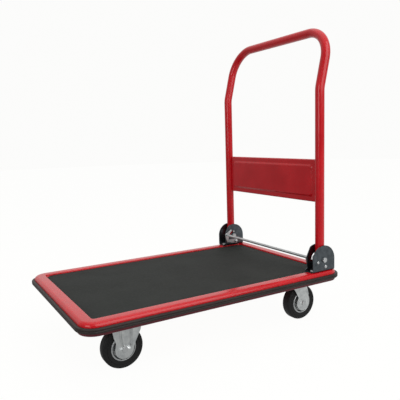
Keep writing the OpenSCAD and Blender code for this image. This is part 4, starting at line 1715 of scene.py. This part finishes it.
@dataclass
class Studio:
    """A pale floor, soft lights and the camera."""

    azimuth: float = math.radians(-30.512)
    elevation: float = math.radians(7.287)
    roll: float = math.radians(-1.733)
    distance: float = 1.4025
    target: tuple[float, float, float] = (0.0596, 0.0, 0.3498)
    lens: float = 44.18
    haze: float = 0.14
    sky: float = 0.95
    bright_way: tuple[float, float, float] = (0.4, 0.62, 0.67)
    floor_glow: tuple[float, float] = (0.3, 0.85)
    floor_seen: float = 0.975
    sky_seen: float = 0.98
    floor_r: float = 9.0

    def build(self) -> None:
        """Builds the camera, the floor, the surroundings and the lights."""
        self.build_camera()
        self.build_floor()
        self.build_world()
        self.build_light("key", (0.5, -2.7, 2.3), (0.0, 0.0, 0.3), 3.4, 100.0)
        self.build_light("fill", (-2.6, -1.2, 1.2), (0.0, 0.0, 0.3), 1.6, 28.0)
        self.build_light("top", (0.0, 0.4, 3.2), (0.0, 0.0, 0.1), 2.6, 14.0)

    def build_camera(self) -> None:
        """The camera, aimed along its azimuth and elevation and rolled a little."""
        a, e, r = self.azimuth, self.elevation, self.roll
        back = Vector((math.sin(a) * math.cos(e), -math.cos(a) * math.cos(e), math.sin(e)))
        right = (-back).cross(Vector((0, 0, 1))).normalized()
        up = right.cross(-back)
        across = right * math.cos(r) + up * math.sin(r)
        upward = up * math.cos(r) - right * math.sin(r)
        camera = bpy.data.objects.new("camera", bpy.data.cameras.new("camera"))
        bpy.context.scene.collection.objects.link(camera)
        camera.data.lens, camera.data.sensor_width = self.lens, 36.0
        place = Vector(self.target) + back * self.distance
        turn = Matrix((across, upward, back)).transposed().to_4x4()
        camera.matrix_world = Matrix.Translation(place) @ turn
        bpy.context.scene.camera = camera

    def build_floor(self) -> None:
        """The floor: a wide pale disc."""
        made = Shape()
        made.cap([Vector((self.floor_r * math.cos(a), self.floor_r * math.sin(a), 0))
                  for a in (2 * math.pi * k / 64 for k in range(64))])
        floor = made.mesh("floor")
        paper = bpy.data.materials.new("pale_floor")
        paper.use_nodes = True
        shader = paper.node_tree.nodes["Principled BSDF"]
        shader.inputs["Base Color"].default_value = linear("#2c2c2c")
        shader.inputs["Roughness"].default_value = 1.0
        shader.inputs["Specular IOR Level"].default_value = 0.0
        shader.inputs["Emission Color"].default_value = linear("#fefefd")
        rays = add_node(paper.node_tree, "ShaderNodeLightPath")
        place = add_node(paper.node_tree, "ShaderNodeTexCoord")
        axes = add_node(paper.node_tree, "ShaderNodeSeparateXYZ", {
            "Vector": place.outputs["Object"],
        })
        reflected = add_node(paper.node_tree, "ShaderNodeMapRange", {
            "Value": axes.outputs["X"], "From Min": -0.9, "From Max": 0.9,
            "To Min": self.floor_glow[0], "To Max": self.floor_glow[1],
        })
        glow = add_node(paper.node_tree, "ShaderNodeMapRange", {
            "Value": rays.outputs["Is Camera Ray"], "To Min": reflected.outputs["Result"],
            "To Max": self.floor_seen,
        })
        paper.node_tree.links.new(glow.outputs["Result"], shader.inputs["Emission Strength"])
        floor.data.materials.append(paper)

    def build_world(self) -> None:
        """Even pale surroundings, dimmer where they are only reflected."""
        world = bpy.data.worlds.new("surroundings")
        world.use_nodes = True
        tree = world.node_tree
        rays = add_node(tree, "ShaderNodeLightPath")
        place = add_node(tree, "ShaderNodeTexCoord")
        facing = add_node(tree, "ShaderNodeVectorMath", {
            0: place.outputs["Generated"], 1: self.bright_way,
        }, operation="DOT_PRODUCT")
        reflected = add_node(tree, "ShaderNodeMapRange", {
            "Value": facing.outputs["Value"], "From Min": -0.5, "From Max": 0.9,
            "To Min": self.haze, "To Max": self.sky,
        })
        seen = add_node(tree, "ShaderNodeMapRange", {
            "Value": rays.outputs["Is Camera Ray"], "To Min": reflected.outputs["Result"],
            "To Max": self.sky_seen,
        })
        tree.links.new(seen.outputs["Result"], tree.nodes["Background"].inputs["Strength"])
        tree.nodes["Background"].inputs["Color"].default_value = linear("#fefefd")
        bpy.context.scene.world = world
        bpy.context.scene.view_settings.view_transform = "Standard"

    def build_light(self, name: str, place: Corner, aim: Corner, size: float,
                    power: float) -> None:
        """A square area light.

        Args:
            name: its name.
            place: where it hangs.
            aim: what it looks at.
            size: the length of its side, in metres.
            power: its power, in watts.
        """
        data = bpy.data.lights.new(name, "AREA")
        data.size, data.energy = size, power
        lamp = bpy.data.objects.new(name, data)
        lamp.location = place
        way = Vector(aim) - Vector(place)
        lamp.rotation_euler = way.to_track_quat("-Z", "Y").to_euler()
        bpy.context.scene.collection.objects.link(lamp)


def main() -> None:
    """Builds the trolley piece by piece, then the studio round it."""
    logging.basicConfig(level=logging.INFO, format="%(name)s: %(message)s")
    Deck().build()
    for side in Side:
        Bracket(side).build()
    BracketFasteners().build()
    Handle().build()
    ReleaseLever().build()
    for side in Side:
        FixedCaster(side).build()
        SwivelCaster(side).build()
        for name in ("fixed", "swivel"):
            Wheel(name, side).build()
    CasterFasteners().build()
    Studio().build()


if __name__ == "__main__":
    main()
